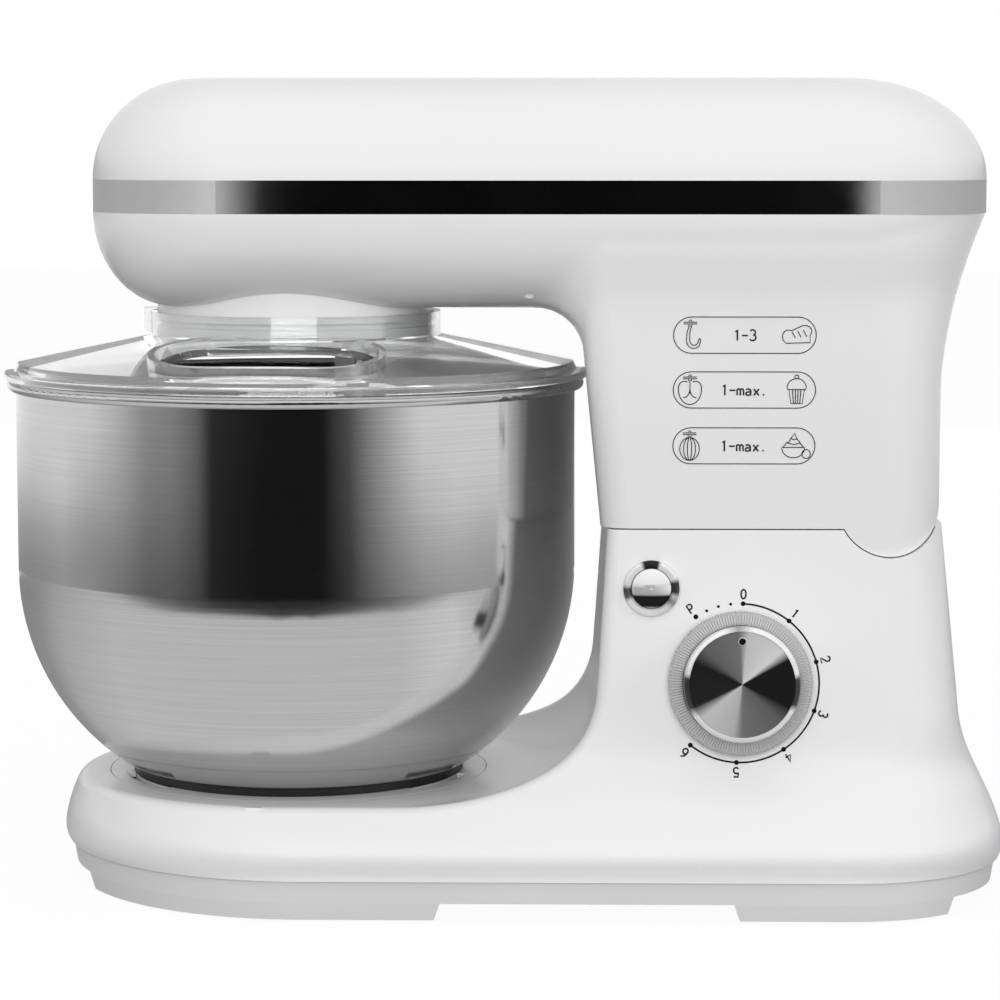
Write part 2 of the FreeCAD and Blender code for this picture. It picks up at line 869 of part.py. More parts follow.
def make_top_cover():
    shell = crown_block(0.0).cut(crown_block(head_wall))
    lip = head_ring(band_wall + sliding_gap, band_wall + sliding_gap + cover_lip, band_top - lip_depth,
                    band_top + head_wall)
    crown = crown_block(0.0)
    lip_up = lip.common(box(nose, tail, -head_half, head_half, band_top - lip_depth, band_top))
    lip_in = lip.common(crown)
    posts = []
    for x, y in mirrored(cover_post_spots):
        post = rod(post_radius, band_bottom, head_top, x, y)
        posts.append(post.common(crown))
        posts.append(rod(post_radius, band_bottom, band_top, x, y))
    shell = fuse([shell, lip_up, lip_in] + posts)
    for x, y in mirrored(cover_post_spots):
        shell = shell.cut(rod(screw_radius, band_bottom, band_top, x, y))
    save("head_top_cover", shell)


def make_trim_band():
    save("trim_band", head_ring(0.0, band_wall, band_bottom, band_top))


def make_head_screws():
    screws = []
    for x, y in mirrored(cover_post_spots):
        screws.append(rod(screw_radius - running_gap, underside + post_radius * 2, band_top - screw_tip_gap,
                          x, y))
    save("head_screws", screws)


def make_vent_grille():
    gap = sliding_gap
    outer_x = neck_rear
    frame = box(outer_x - head_wall, outer_x, -vent_half + gap, vent_half - gap, vent_low + gap,
                vent_high - gap)
    pitch = (vent_high - vent_low) / (vent_slats + 1)
    for i in range(vent_slats):
        z = vent_low + pitch * (i + 1)
        slot = (pitch - vent_slat) / 2
        frame = frame.cut(box(outer_x - head_wall * 2, outer_x + head_wall, -vent_half + pitch,
                              vent_half - pitch, z - slot, z + slot))
    seat = outer_x - head_wall - running_gap
    frame = frame.fuse(box(seat - head_wall, outer_x - head_wall, -vent_half + gap, vent_half - gap,
                           vent_low + gap, vent_high - gap))
    flange = box(seat - head_wall, seat, -vent_half - vent_lip, vent_half + vent_lip,
                 vent_low - vent_lip, vent_high + vent_lip)
    window = box(seat - head_wall, outer_x - head_wall, -vent_half + pitch, vent_half - pitch,
                 vent_low + vent_frame, vent_high - vent_frame)
    save("rear_vent_grille", frame.fuse(flange).removeSplitter().cut(window))


# Hinge
def make_hinge():
    seat = deck_under - bracket_drop
    plates = []
    for side in (-1, 1):
        low = side * ear_middle - ear_thickness / 2
        ear = box(hinge_x - ear_width / 2, hinge_x + ear_width / 2, low, low + ear_thickness, seat, hinge_z)
        ear = ear.fuse(cross_rod(ear_head, low, low + ear_thickness, hinge_x, hinge_z))
        ear = ear.cut(cross_rod(pin_radius + running_gap, low, low + ear_thickness, hinge_x, hinge_z))
        plates.append(ear)
    reach = ear_middle + ear_thickness / 2
    floor = box(hinge_x - ear_width / 2, hinge_x + ear_width / 2, -reach, reach, seat - bracket_thickness,
                seat)
    save("hinge_bracket", fuse(plates + [floor]))
    save("hinge_pin", cross_rod(pin_radius, -web_start - web_thickness * 2, web_start + web_thickness * 2,
                                hinge_x, hinge_z))
    bushes = []
    for side in (-1, 1):
        start = side * (web_start + web_thickness / 2) - web_thickness / 2
        bush = cross_rod(pin_radius + bush_wall, start, start + web_thickness, hinge_x, hinge_z)
        bore = cross_rod(pin_radius + running_gap, start, start + web_thickness, hinge_x, hinge_z)
        bushes.append(bush.cut(bore))
    save("hinge_bushes", bushes)


# Dial, switch and button
def make_dial():
    top = dial_lift + bezel_height
    ring = tube(knurl_radius, bezel_radius, dial_lift, dial_lift + knurl_height)
    floor_level = dial_lift + knurl_floor
    ring = ring.fuse(tube(knurl_radius, knurl_bore, dial_lift, floor_level)).removeSplitter()
    body = rod(bezel_radius - bezel_wall, floor_level, top - cap_recess - cap_thickness)
    body = body.cut(rod(dial_shaft_radius + running_gap, 0, dial_shaft_outside))
    bezel = turned([(bezel_radius - bezel_wall, floor_level), (bezel_radius, floor_level),
                    (bezel_radius, top - bezel_wall), (bezel_radius - bezel_round, top - bezel_round,
                                                       bezel_radius - bezel_wall, top),
                    (bezel_radius - bezel_wall, floor_level)])
    cap_radius = bezel_radius - bezel_wall
    cap = rod(cap_radius, top - cap_recess - cap_thickness, top - cap_recess)
    dot = rod(dot_radius, top - cap_recess, top - cap_recess + dot_height, 0, dot_orbit)
    shaft = rod(dial_shaft_radius, -base_wall - dial_shaft_inside, dial_shaft_outside)
    pieces = (("dial_knurled_ring", ring), ("dial_body", body), ("dial_bezel", bezel), ("dial_cap", cap),
              ("dial_pointer", dot), ("dial_shaft", shaft))
    for name, shape in pieces:
        save(name, on_face(shape, dial_x, dial_z))


def make_switch():
    back = -base_wall - switch_gap
    half = switch_size / 2
    switch = box(-half, half, -half, half, back - switch_depth, back)
    switch = switch.fuse(tube(dial_bush_radius, dial_shaft_radius, back, dial_lift - sliding_gap))
    switch = switch.cut(rod(dial_shaft_radius + running_gap, back - switch_bore, dial_lift))
    save("speed_switch", on_face(switch, dial_x, dial_z))


def make_button():
    crown = (button_radius ** 2 + button_crown ** 2) / (2 * button_crown)
    ball = Part.makeSphere(crown, Vector(0, 0, button_proud + button_crown - crown))
    cap = rod(button_radius, button_proud - button_length, button_proud + button_crown).common(ball.fuse(
        rod(button_radius, button_proud - button_length, button_proud)))
    save("release_button", on_face(cap, button_x, button_z))
    inner = button_radius + sliding_gap
    guide = inner + button_guide_wall
    round_off = button_bezel_height / 2
    crest = (inner + button_bezel_radius) / 2
    bow = math.sqrt(0.5)
    bow_point = (crest + (button_bezel_radius - crest) * bow, round_off + round_off * bow)
    lip = turned([(inner, 0), (button_bezel_radius, 0), (button_bezel_radius, round_off),
                  bow_point + (crest, button_bezel_height), (inner, round_off), (inner, 0)])
    bezel = lip.fuse(tube(guide, inner, -button_guide_length, 0)).removeSplitter()
    bezel.translate(Vector(0, 0, running_gap * 2))
    save("button_bezel", on_face(bezel, button_x, button_z))


def coil_stack(length):
    # A close coil spring seen as its turns in a row.
    pitch = length / spring_coils
    points = [(spring_radius - spring_wire, 0), (spring_radius, 0)]
    for i in range(spring_coils):
        low = pitch * i
        points.append((spring_radius + spring_wire, low + pitch / 2, spring_radius, low + pitch))
    points += [(spring_radius - spring_wire, length), (spring_radius - spring_wire, 0)]
    return turned(points)


def latch_level():
    top = deck_under - latch_drop
    return top - latch_thickness, top


def latch_start():
    # Just behind the inner end of the leaning button.
    lean = math.radians(lean_angle)
    depth = (button_length - button_proud) * math.cos(lean) + button_radius * math.sin(lean)
    return face_y(button_z) + depth + sliding_gap


def latch_rails():
    low = latch_level()[0]
    start = striker_middle - latch_window
    rails = []
    for side in (-1, 1):
        inner = latch_x + side * (latch_width / 2 + sliding_gap)
        outer = inner + side * rail_width
        lip = inner - side * rail_lip
        rails.append(box(min(inner, outer), max(inner, outer), start, latch_end,
                         low - sliding_gap - rail_width, seam_height - base_wall / 2))
        rails.append(box(min(lip, outer), max(lip, outer), start, latch_end,
                         low - sliding_gap - rail_width, low - sliding_gap))
    stop = latch_end + spring_length
    rails.append(box(latch_x - latch_width / 2, latch_x + latch_width / 2, stop, stop + rail_width,
                     low - rail_width, seam_height - base_wall / 2))
    return rails


def striker_slot():
    near = striker_middle - striker_thickness / 2 - striker_room
    far = striker_middle + striker_thickness / 2 + striker_ledge + striker_room
    left = latch_x - striker_width / 2 - striker_room * 2
    right = latch_x + striker_width / 2 + striker_room
    return box(left, right, near, far, deck_under - base_wall, seam_height + base_wall)


def make_latch():
    low, high = latch_level()
    start = latch_start()
    nose_y = striker_middle + striker_thickness / 2 + striker_ledge + latch_clear
    slider = box(latch_x - latch_width / 2, latch_x + latch_width / 2, start, latch_end, low, high)
    window_low = latch_x - striker_width / 2 - striker_room * 2
    window_high = latch_x + striker_width / 2 + striker_room
    slider = slider.cut(box(window_low, window_high, nose_y - latch_window, nose_y, low, high))
    push = box(button_x - button_radius, latch_x + latch_width / 2, start, start + rail_width,
               button_z - button_radius, high)
    save("latch_slider", slider.fuse(push).removeSplitter())
    ledge_top = low - latch_play
    near = striker_middle - striker_thickness / 2
    far = striker_middle + striker_thickness / 2
    tongue = box(latch_x - striker_width / 2, latch_x + striker_width / 2, near, far,
                 ledge_top - striker_ledge_height, neck_bottom)
    ledge = box(latch_x - striker_width / 2, latch_x + striker_width / 2, far, far + striker_ledge,
                ledge_top - striker_ledge_height, ledge_top)
    save("latch_striker", tongue.fuse(ledge).removeSplitter())
    spring = coil_stack(spring_length)
    spring.rotate(Vector(0, 0, 0), Vector(1, 0, 0), -90)
    spring.translate(Vector(latch_x, latch_end, (low + high) / 2))
    save("latch_spring", spring)


# Drive train
def tooth_angle(radius, pitch, teeth, slack):
    base = pitch * math.cos(math.radians(pressure_angle))
    pressure = math.radians(pressure_angle)
    here = math.acos(min(1.0, base / radius))
    roll = math.tan(pressure) - pressure - math.tan(here) + here
    return math.pi / (2 * teeth) - slack / (2 * pitch) + roll


def gear_face(teeth, tip, root, slack, turn):
    pitch = gear_module * teeth / 2
    base = pitch * math.cos(math.radians(pressure_angle))
    radii = [root] + spaced(max(root, base) + running_gap, tip, 4)
    points = []
    for i in range(teeth):
        middle = turn + 2 * math.pi * i / teeth
        flank_side = [(r, tooth_angle(max(r, base), pitch, teeth, slack)) for r in radii]
        for r, half in flank_side:
            points.append(Vector(r * math.cos(middle - half), r * math.sin(middle - half), 0))
        for r, half in reversed(flank_side):
            points.append(Vector(r * math.cos(middle + half), r * math.sin(middle + half), 0))
    points.append(points[0])
    return Part.Face(Part.makePolygon(points))


def gear(teeth, z0, z1, x, turn=0.0):
    pitch = gear_module * teeth / 2
    face = gear_face(teeth, pitch + gear_module, pitch - gear_root * gear_module, backlash, turn)
    solid = face.extrude(Vector(0, 0, z1 - z0))
    solid.translate(Vector(x, 0, z0))
    return solid


def make_chassis():
    plate = slab(chassis_front, chassis_rear, chassis_half, chassis_corner, chassis_corner, chassis_bottom,
                 chassis_top)
    main_boss = main_shaft_radius + bearing_wall
    counter_boss = counter_shaft_radius + bearing_wall
    boss_top = chassis_top + boss_height
    bosses = [rod(main_boss + boss_wall, chassis_top, boss_top, bowl_axis),
              rod(counter_boss + boss_wall, chassis_top, boss_top, counter_axis)]
    for side in (-1, 1):
        bosses.append(rod(bridge_post_radius * 2, chassis_bottom, chassis_top, counter_axis,
                          side * bridge_half))
    plate = fuse([plate] + bosses)
    plate = plate.cut(rod(main_boss, chassis_bottom, boss_top, bowl_axis))
    plate = plate.cut(rod(counter_boss, chassis_bottom, boss_top, counter_axis))
    plate = plate.cut(rod(motor_shaft_radius * 2, chassis_bottom, chassis_top, motor_axis))
    for x, y in mirrored(cover_post_spots):
        plate = plate.cut(rod(post_radius + sliding_gap * 2, chassis_bottom, chassis_top, x, y))
    for x, y in mirrored(chassis_post_spots):
        plate = plate.cut(rod(screw_radius + sliding_gap, chassis_bottom, chassis_top, x, y))
    for x, y in bolt_spots():
        plate = plate.cut(rod(bolt_radius, chassis_bottom, chassis_top, x, y))
    save("chassis_plate", plate)
    screws = []
    for x, y in mirrored(chassis_post_spots):
        head = rod(screw_head_radius, chassis_top, chassis_top + screw_head_height, x, y)
        tip = chassis_bottom - post_radius * 2 + screw_tip_gap
        screws.append(head.fuse(rod(screw_radius - running_gap, tip, chassis_top, x, y)))
    save("chassis_screws", screws)
    bearings = [tube(main_boss, main_shaft_radius + running_gap, chassis_bottom, boss_top, bowl_axis),
                tube(counter_boss, counter_shaft_radius + running_gap, chassis_bottom, boss_top,
                     counter_axis)]
    save("shaft_bearings", bearings)


def make_bridge():
    low = pulley_high + pulley_clear
    bar = box(counter_axis - bridge_bar / 2, counter_axis + bridge_bar / 2, -bridge_half - bridge_post_radius,
              bridge_half + bridge_post_radius, low, low + bridge_thickness)
    posts = [rod(bridge_post_radius, chassis_top, low, counter_axis, side * bridge_half) for side in (-1, 1)]
    bridge = fuse([bar] + posts)
    top = low + bridge_thickness
    save("bearing_bridge", bridge.cut(rod(counter_shaft_radius + running_gap, low, top, counter_axis)))
    return top


def make_countershaft(top):
    shaft = rod(counter_shaft_radius, chassis_bottom, top, counter_axis)
    save("countershaft", shaft)
    half_tooth = math.pi / pinion_teeth
    pinion = gear(pinion_teeth, gear_low - pinion_under, gear_high + pinion_over, counter_axis, half_tooth)
    save("drive_pinion", pinion.cut(rod(counter_shaft_radius, chassis_bottom, top, counter_axis)))
    wheel = rod(driven_pulley_radius, pulley_low, pulley_high, counter_axis)
    recess = tube(driven_pulley_radius - pulley_rim, counter_shaft_radius + pulley_hub,
                  pulley_low + pulley_web, pulley_high, counter_axis)
    wheel = wheel.cut(recess).cut(rod(counter_shaft_radius, pulley_low, pulley_high, counter_axis))
    save("driven_pulley", wheel)


def belt_outline(grow):
    big = driven_pulley_radius + grow
    small = motor_pulley_radius + grow
    span = motor_axis - counter_axis
    lean = math.acos((big - small) / span)
    cos_lean, sin_lean = math.cos(lean), math.sin(lean)
    big_top = Vector(counter_axis + big * cos_lean, big * sin_lean, pulley_low)
    small_top = Vector(motor_axis + small * cos_lean, small * sin_lean, pulley_low)
    big_low = Vector(big_top.x, -big_top.y, pulley_low)
    small_low = Vector(small_top.x, -small_top.y, pulley_low)
    edges = [Part.LineSegment(big_top, small_top).toShape(),
             Part.Arc(small_top, Vector(motor_axis + small, 0, pulley_low), small_low).toShape(),
             Part.LineSegment(small_low, big_low).toShape(),
             Part.Arc(big_low, Vector(counter_axis - big, 0, pulley_low), big_top).toShape()]
    return Part.Face(Part.Wire(edges))


def make_belt():
    rise = Vector(0, 0, pulley_width)
    belt = belt_outline(belt_gap + belt_thickness).extrude(rise).cut(belt_outline(belt_gap).extrude(rise))
    save("drive_belt", belt)


def make_main_drive():
    save("main_shaft", rod(main_shaft_radius, carrier_top, gear_high + main_shaft_over, bowl_axis))
    wheel = gear(main_teeth, gear_low, gear_high, bowl_axis)
    recess = tube(main_pitch - gear_rim, main_shaft_radius + gear_hub, gear_low + gear_web, gear_high,
                  bowl_axis)
    save("main_gear", wheel.cut(recess).cut(rod(main_shaft_radius, gear_low, gear_high, bowl_axis)))
    tool_x = bowl_axis + tool_orbit
    disc = rod(carrier_radius, carrier_bottom, carrier_top, bowl_axis)
    boss = rod(tool_boss_radius, carrier_bottom - tool_boss_drop, carrier_top + tool_boss_rise, tool_x)
    carrier = fuse([disc, boss])
    save("planet_carrier", carrier.cut(rod(tool_shaft_radius + running_gap, 0, planet_high, tool_x)))
    ring_root = ring_pitch + gear_root * gear_module
    cutter = gear_face(ring_teeth, ring_root, ring_pitch - gear_module, -backlash, 0.0)
    space = cutter.extrude(Vector(0, 0, chassis_bottom - planet_low))
    space.translate(Vector(bowl_axis, 0, planet_low))
    rim = rod(ring_root + ring_gear_rim, planet_low, chassis_bottom, bowl_axis)
    save("ring_gear", rim.cut(space))
    planet = gear(planet_teeth, planet_low, planet_high, tool_x)
    save("planet_gear", planet.cut(rod(tool_shaft_radius, planet_low, planet_high, tool_x)))
    shaft = rod(tool_shaft_radius, tool_shaft_bottom, planet_high, tool_x)
    pin_half = tool_pin_length / 2
    pin = cross_rod(tool_pin_radius, -pin_half, pin_half, tool_x, tool_pin_height)
    save("tool_shaft", shaft.cut(pin))
    save("tool_pin", pin)
    make_beater(tool_x)


def blade(tool_x, inset, neck):
    # The beater's outline, from one side of its neck round to the other.
    half = beater_half - inset
    foot = beater_foot - inset / 3
    low = beater_bottom + inset
    top = beater_top - inset
    shoulder = (half * shoulder_bow, top - (top - beater_shoulder) * shoulder_fall)
    flank_point = (half * flank_bow, beater_shoulder - (beater_shoulder - low) * flank_fall)
    points = [(neck, top), shoulder + (half, beater_shoulder), flank_point + (foot, low), (-foot, low),
              (-flank_point[0], flank_point[1], -half, beater_shoulder),
              (-shoulder[0], shoulder[1], -neck, top), (neck, top)]
    solid = swept_across(points, beater_thickness / 2)
    solid.translate(Vector(tool_x, 0, 0))
    return solid


def make_beater(tool_x):
    hub_low = beater_hub_top - beater_hub_height
    hub = rod(beater_hub_radius, hub_low, beater_hub_top, tool_x)
    hub = hub.cut(rod(tool_shaft_radius + running_gap, tool_shaft_bottom - sliding_gap, beater_hub_top,
                      tool_x))
    slot = tool_pin_radius + sliding_gap
    hub = hub.cut(cross_rod(slot, -tool_pin_length, tool_pin_length, tool_x, tool_pin_height))
    hub = hub.cut(box(tool_x - slot, tool_x + slot, -tool_pin_length, tool_pin_length, tool_pin_height,
                      beater_hub_top))
    frame = blade(tool_x, 0.0, beater_neck).cut(blade(tool_x, beater_bar, beater_neck_inside))
    half_bar = beater_thickness / 2
    stem = box(tool_x - beater_bar / 2, tool_x + beater_bar / 2, -half_bar, half_bar,
               beater_bottom + beater_bar / 2, hub_low + beater_stem_overlap)
    filled = blade(tool_x, beater_bar / 2, beater_neck_inside)
    bars = [stem]
    for z in spaced(beater_rib_low, beater_rib_high, beater_ribs):
        rib = box(tool_x - beater_half, tool_x + beater_half, -half_bar, half_bar, z, z + beater_rib_height)
        bars.append(rib.common(filled))
    save("flat_beater", fuse([frame, hub] + bars))


def make_drum():
    seat = floor_top + running_gap
    collar = tube(drum_radius, drum_inner, drum_bottom, drum_top, bowl_axis)
    flange = tube(drum_radius + drum_flange, drum_inner, seat, seat + drum_flange_thickness, bowl_axis)
    flat_floor = box(bowl_axis, counter_axis, -drum_flange_half, drum_flange_half, seat, drum_top)
    collar = collar.fuse(flange.common(flat_floor))
    groove = tube(drum_radius + groove_depth, drum_radius - groove_depth, groove_low, groove_high, bowl_axis)
    save("drum_collar", collar.removeSplitter().cut(groove))


# Splash guard
def guard_slope():
    return (guard_throat - guard_shoulder) / (guard_radius - guard_rim_width - collar_radius)


def chute_slab(grow, low, high):
    # A round-ended slab lying on the guard's slope, with heights counted from the slope.
    half = chute_width / 2 + grow
    reach = chute_length / 2 + grow
    round_end = half - running_gap
    level = guard_throat - guard_slope() * (chute_orbit - collar_radius)
    solid = slab(-reach, reach, half, round_end, round_end, low, high)
    solid.rotate(Vector(0, 0, 0), Vector(1, 0, 0), math.degrees(math.atan(guard_slope())))
    solid.translate(Vector(0, -chute_orbit, level))
    solid.rotate(Vector(0, 0, 0), Vector(0, 0, 1), chute_bearing + 90)
    solid.translate(Vector(bowl_axis, 0, 0))
    return solid


def make_guard():
    low = bead_top + guard_rest_gap
    shoulder_r = guard_radius - guard_rim_width
    bead_in = drum_radius - groove_depth + collar_gap
    inner = drum_radius + collar_gap
    bead_low = groove_low + collar_gap
    bead_high = groove_high - collar_gap
    under = guard_wall * math.sqrt(1 + guard_slope() ** 2)
    rim_in = guard_rim_round * (1 - math.sqrt(0.5))
    profile = [(guard_radius, low), (guard_radius, guard_rim_top - guard_rim_round),
               (guard_radius - rim_in, guard_rim_top - rim_in, guard_radius - guard_rim_round, guard_rim_top),
               (shoulder_r + guard_step, guard_rim_top + guard_rim_fall), (shoulder_r, guard_shoulder),
               (collar_radius, guard_throat), (collar_radius, collar_top), (inner, collar_top),
               (inner, bead_high), (bead_in, bead_high), (bead_in, bead_low), (inner, bead_low),
               (inner, guard_throat - under),
               (shoulder_r - guard_wall, guard_shoulder - under), (shoulder_r - guard_wall, low),
               (guard_radius, low)]
    guard = turned(profile, bowl_axis)
    above = turned([(inner, guard_throat - under), (shoulder_r - guard_wall, guard_shoulder - under),
                    (shoulder_r, guard_shoulder - under), (shoulder_r, collar_top), (inner, collar_top),
                    (inner, guard_throat - under)], bowl_axis)
    rim = chute_slab(0.0, -chute_depth, chute_rise).common(above)
    tab = box(inner, collar_radius + guard_tab_reach, -guard_tab_width / 2, guard_tab_width / 2,
              guard_tab_low, guard_tab_high)
    tab.rotate(Vector(0, 0, 0), Vector(0, 0, 1), guard_tab_bearing)
    tab.translate(Vector(bowl_axis, 0, 0))
    guard = fuse([guard, rim, tab])
    save("splash_guard", guard.cut(chute_slab(-chute_wall, -chute_depth, chute_rise * 2)))


# Motor
def bolt_spots():
    return mirrored([(motor_axis - bolt_spread_x, bolt_spread_y),
                     (motor_axis + bolt_spread_x, bolt_spread_y)])


def make_stator():
    core = slab(motor_axis - stator_length / 2, motor_axis + stator_length / 2, stator_width / 2,
                stator_corner, stator_corner, stator_low, stator_high)
    core = core.cut(rod(rotor_radius + air_gap, stator_low, stator_high, motor_axis))
    slots = []
    for side in (-1, 1):
        x = motor_axis + side * coil_offset
        slots.append(box(x - coil_thickness / 2, x + coil_thickness / 2, -rotor_radius, rotor_radius,
                         stator_low, stator_high))
    for slot in slots:
        core = core.cut(slot)
    for x, y in bolt_spots():
        core = core.cut(rod(bolt_radius, stator_low, stator_high, x, y))
    save("motor_stator", core)
    coils = []
    for side in (-1, 1):
        x = motor_axis + side * coil_offset
        coils.append(box(x - coil_thickness / 2, x + coil_thickness / 2, -rotor_radius, rotor_radius,
                         stator_low - coil_height, stator_high + coil_height / 2))
    save("field_coils", coils)


def make_motor_frame():
    reach_x = bolt_spread_x + bolt_sleeve * 2
    frames = []
    for low, high in ((motor_low, motor_low + bracket_depth), (motor_high - bracket_depth, motor_high)):
        bar = box(motor_axis - reach_x, motor_axis + reach_x, -bolt_spread_y - bolt_sleeve,
                  bolt_spread_y + bolt_sleeve, low, high)
        middle = box(motor_axis - reach_x + bolt_sleeve * 3, motor_axis + reach_x - bolt_sleeve * 3,
                     bracket_width / 2, base_half, low, high)
        bar = bar.cut(middle).cut(middle.mirror(Vector(0, 0, 0), Vector(0, 1, 0)))
        bar = bar.cut(rod(motor_bearing_radius, low, high, motor_axis))
        for x, y in bolt_spots():
            bar = bar.cut(rod(bolt_radius, low, high, x, y))
        frames.append(bar)
    save("motor_lower_bracket", frames[0])
    save("motor_upper_bracket", frames[1])
    bore = motor_shaft_radius + running_gap
    rings = [tube(motor_bearing_radius, bore, low, low + motor_bearing_height, motor_axis)
             for low in (motor_low, motor_high - bracket_depth)]
    save("motor_bearings", rings)
    bolts = []
    for x, y in bolt_spots():
        bolt = rod(bolt_radius - running_gap, motor_low, chassis_top, x, y)
        head = rod(bolt_sleeve, motor_low - screw_head_height, motor_low, x, y)
        gaps = ((motor_low + bracket_depth, stator_low), (stator_high, motor_high - bracket_depth),
                (motor_high, chassis_bottom))
        sleeves = [rod(bolt_sleeve, low, high, x, y) for low, high in gaps]
        bolts.append(fuse([bolt, head] + sleeves))
    save("motor_bolts", bolts)
    brushes = []
    for side in (-1, 1):
        start = commutator_radius + brush_gap
        ys = sorted((side * start, side * (start + brush_length)))
        z0 = commutator_low + brush_rise
        holder = box(motor_axis - brush_size / 2, motor_axis + brush_size / 2, ys[0], ys[1], z0,
                     z0 + brush_size)
        hang = sorted((side * (start + brush_length - brush_size), side * (start + brush_length)))
        tie = box(motor_axis - brush_size / 2, motor_axis + brush_size / 2, hang[0], hang[1], z0,
                  motor_high - bracket_depth)
        foot_start = side * brush_foot_start
        foot_top = motor_high - bracket_depth
        foot = box(motor_axis - brush_size / 2, motor_axis + brush_size / 2, min(foot_start, hang[0]),
                   max(foot_start, hang[1]), foot_top - brush_foot_thickness, foot_top)
        brushes.append(fuse([holder, tie, foot]))
    save("brush_holders", brushes)


def make_rotor():
    save("rotor_shaft", rod(motor_shaft_radius, motor_low, pulley_high + motor_shaft_over, motor_axis))
    core = rod(rotor_radius, stator_low, stator_high, motor_axis)
    for i in range(rotor_slots):
        slot = box(rotor_radius - rotor_slot_depth, rotor_radius + air_gap, -rotor_slot_width / 2,
                   rotor_slot_width / 2, stator_low, stator_high)
        slot.rotate(Vector(0, 0, 0), Vector(0, 0, 1), 360.0 * i / rotor_slots)
        slot.translate(Vector(motor_axis, 0, 0))
        core = core.cut(slot)
    save("rotor_core", core.cut(rod(motor_shaft_radius, stator_low, stator_high, motor_axis)))
    save("commutator", tube(commutator_radius, motor_shaft_radius, commutator_low, commutator_high,
                            motor_axis))
    disc = rod(fan_radius, fan_low, fan_low + fan_plate, motor_axis)
    hub = rod(motor_shaft_radius + fan_hub, fan_low, fan_low + fan_height, motor_axis)
    vanes = []
    for i in range(fan_blades):
        vane = box(motor_shaft_radius + fan_hub / 2, fan_radius, -fan_plate / 2, fan_plate / 2, fan_low,
                   fan_low + fan_height)
        vane.rotate(Vector(0, 0, 0), Vector(0, 0, 1), 360.0 * i / fan_blades)
        vane.translate(Vector(motor_axis, 0, 0))
        vanes.append(vane)
    fan = fuse([disc, hub] + vanes)
    save("cooling_fan", fan.cut(rod(motor_shaft_radius, fan_low, fan_low + fan_height, motor_axis)))
    wheel = rod(motor_pulley_radius, pulley_low, pulley_high, motor_axis)
    flange_low = pulley_low - pulley_flange_drop
    flange = rod(motor_pulley_radius + pulley_flange, flange_low, pulley_low - belt_gap, motor_axis)
    wheel = fuse([wheel, flange, rod(motor_pulley_radius, flange_low, pulley_low, motor_axis)])
    save("motor_pulley", wheel.cut(rod(motor_shaft_radius, flange_low, pulley_high, motor_axis)))


# Control board and cord gland
def board_corners():
    reach_x = board_length / 2 - board_post_inset
    reach_y = board_width / 2 - board_post_inset
    return [(board_x + sx * reach_x, sy * reach_y)
            for sx in (-1, 1) for sy in (-1, 1)]


def make_board():
    top = board_height + board_thickness
    board = box(board_x - board_length / 2, board_x + board_length / 2, -board_width / 2, board_width / 2,
                board_height, top)
    choke = rod(choke_radius, top, top + choke_height, board_x + choke_offset)
    fin = board_x + heatsink_start
    heatsink = box(fin, fin + heatsink_thickness, -heatsink_half, heatsink_half, top, top + heatsink_height)
    strip = board_x + terminal_start
    terminals = box(strip, strip + terminal_length, -terminal_half, terminal_half, top, top + terminal_height)
    save("control_board", fuse([board, choke, heatsink, terminals]))


def make_gland():
    seat = base_right - end_inset(gland_height) - gland_seat
    ring = along_rod(gland_radius - running_gap, seat - gland_length / 2, seat + gland_flange, gland_y,
                     gland_height)
    collar = along_rod(gland_radius + gland_flange, seat, seat + gland_flange, gland_y, gland_height)
    bore = along_rod(gland_bore, seat - gland_length, seat + gland_length, gland_y, gland_height)
    save("cord_gland", ring.fuse(collar).removeSplitter().cut(bore))


def build():
    os.makedirs("parts", exist_ok=True)
    make_base_housing()
    make_base_plate()
    make_feet()
    make_base_screws()
    make_bowl_seat()
    make_foot_ring()
    make_bowl()
    make_lower_housing()
    make_top_cover()
    make_trim_band()
    make_head_screws()
    make_vent_grille()
    make_hinge()
    make_dial()
    make_switch()
    make_button()
    make_latch()
    make_chassis()
    shaft_top = make_bridge()
    make_countershaft(shaft_top)
    make_belt()
    make_main_drive()
    make_drum()
    make_guard()
    make_stator()
    make_motor_frame()
    make_rotor()
    make_board()
    make_gland()


build()
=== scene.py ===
import bpy
import json
import math
from mathutils import Matrix, Vector
from mathutils.bvhtree import BVHTree


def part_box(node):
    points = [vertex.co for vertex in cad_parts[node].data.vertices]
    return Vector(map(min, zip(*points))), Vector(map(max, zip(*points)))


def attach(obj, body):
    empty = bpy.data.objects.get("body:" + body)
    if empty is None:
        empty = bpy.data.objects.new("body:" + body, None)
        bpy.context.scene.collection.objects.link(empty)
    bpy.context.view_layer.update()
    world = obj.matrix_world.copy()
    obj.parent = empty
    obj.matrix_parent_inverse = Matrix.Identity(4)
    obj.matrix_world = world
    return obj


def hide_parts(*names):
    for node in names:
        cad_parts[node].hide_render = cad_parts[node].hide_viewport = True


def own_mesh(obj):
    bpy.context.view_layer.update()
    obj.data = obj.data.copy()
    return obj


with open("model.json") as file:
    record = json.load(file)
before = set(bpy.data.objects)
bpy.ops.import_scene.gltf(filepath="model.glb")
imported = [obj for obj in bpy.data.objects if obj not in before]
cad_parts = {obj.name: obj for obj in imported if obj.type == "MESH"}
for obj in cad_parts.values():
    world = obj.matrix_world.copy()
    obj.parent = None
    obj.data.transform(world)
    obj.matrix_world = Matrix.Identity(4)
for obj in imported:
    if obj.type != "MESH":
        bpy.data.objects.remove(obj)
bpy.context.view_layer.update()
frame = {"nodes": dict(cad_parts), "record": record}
nodes = frame["nodes"]
mm = 0.001
scene = bpy.context.scene
scene.view_settings.view_transform = "Standard"
print("mixer: frame loaded,", len(nodes), "nodes")


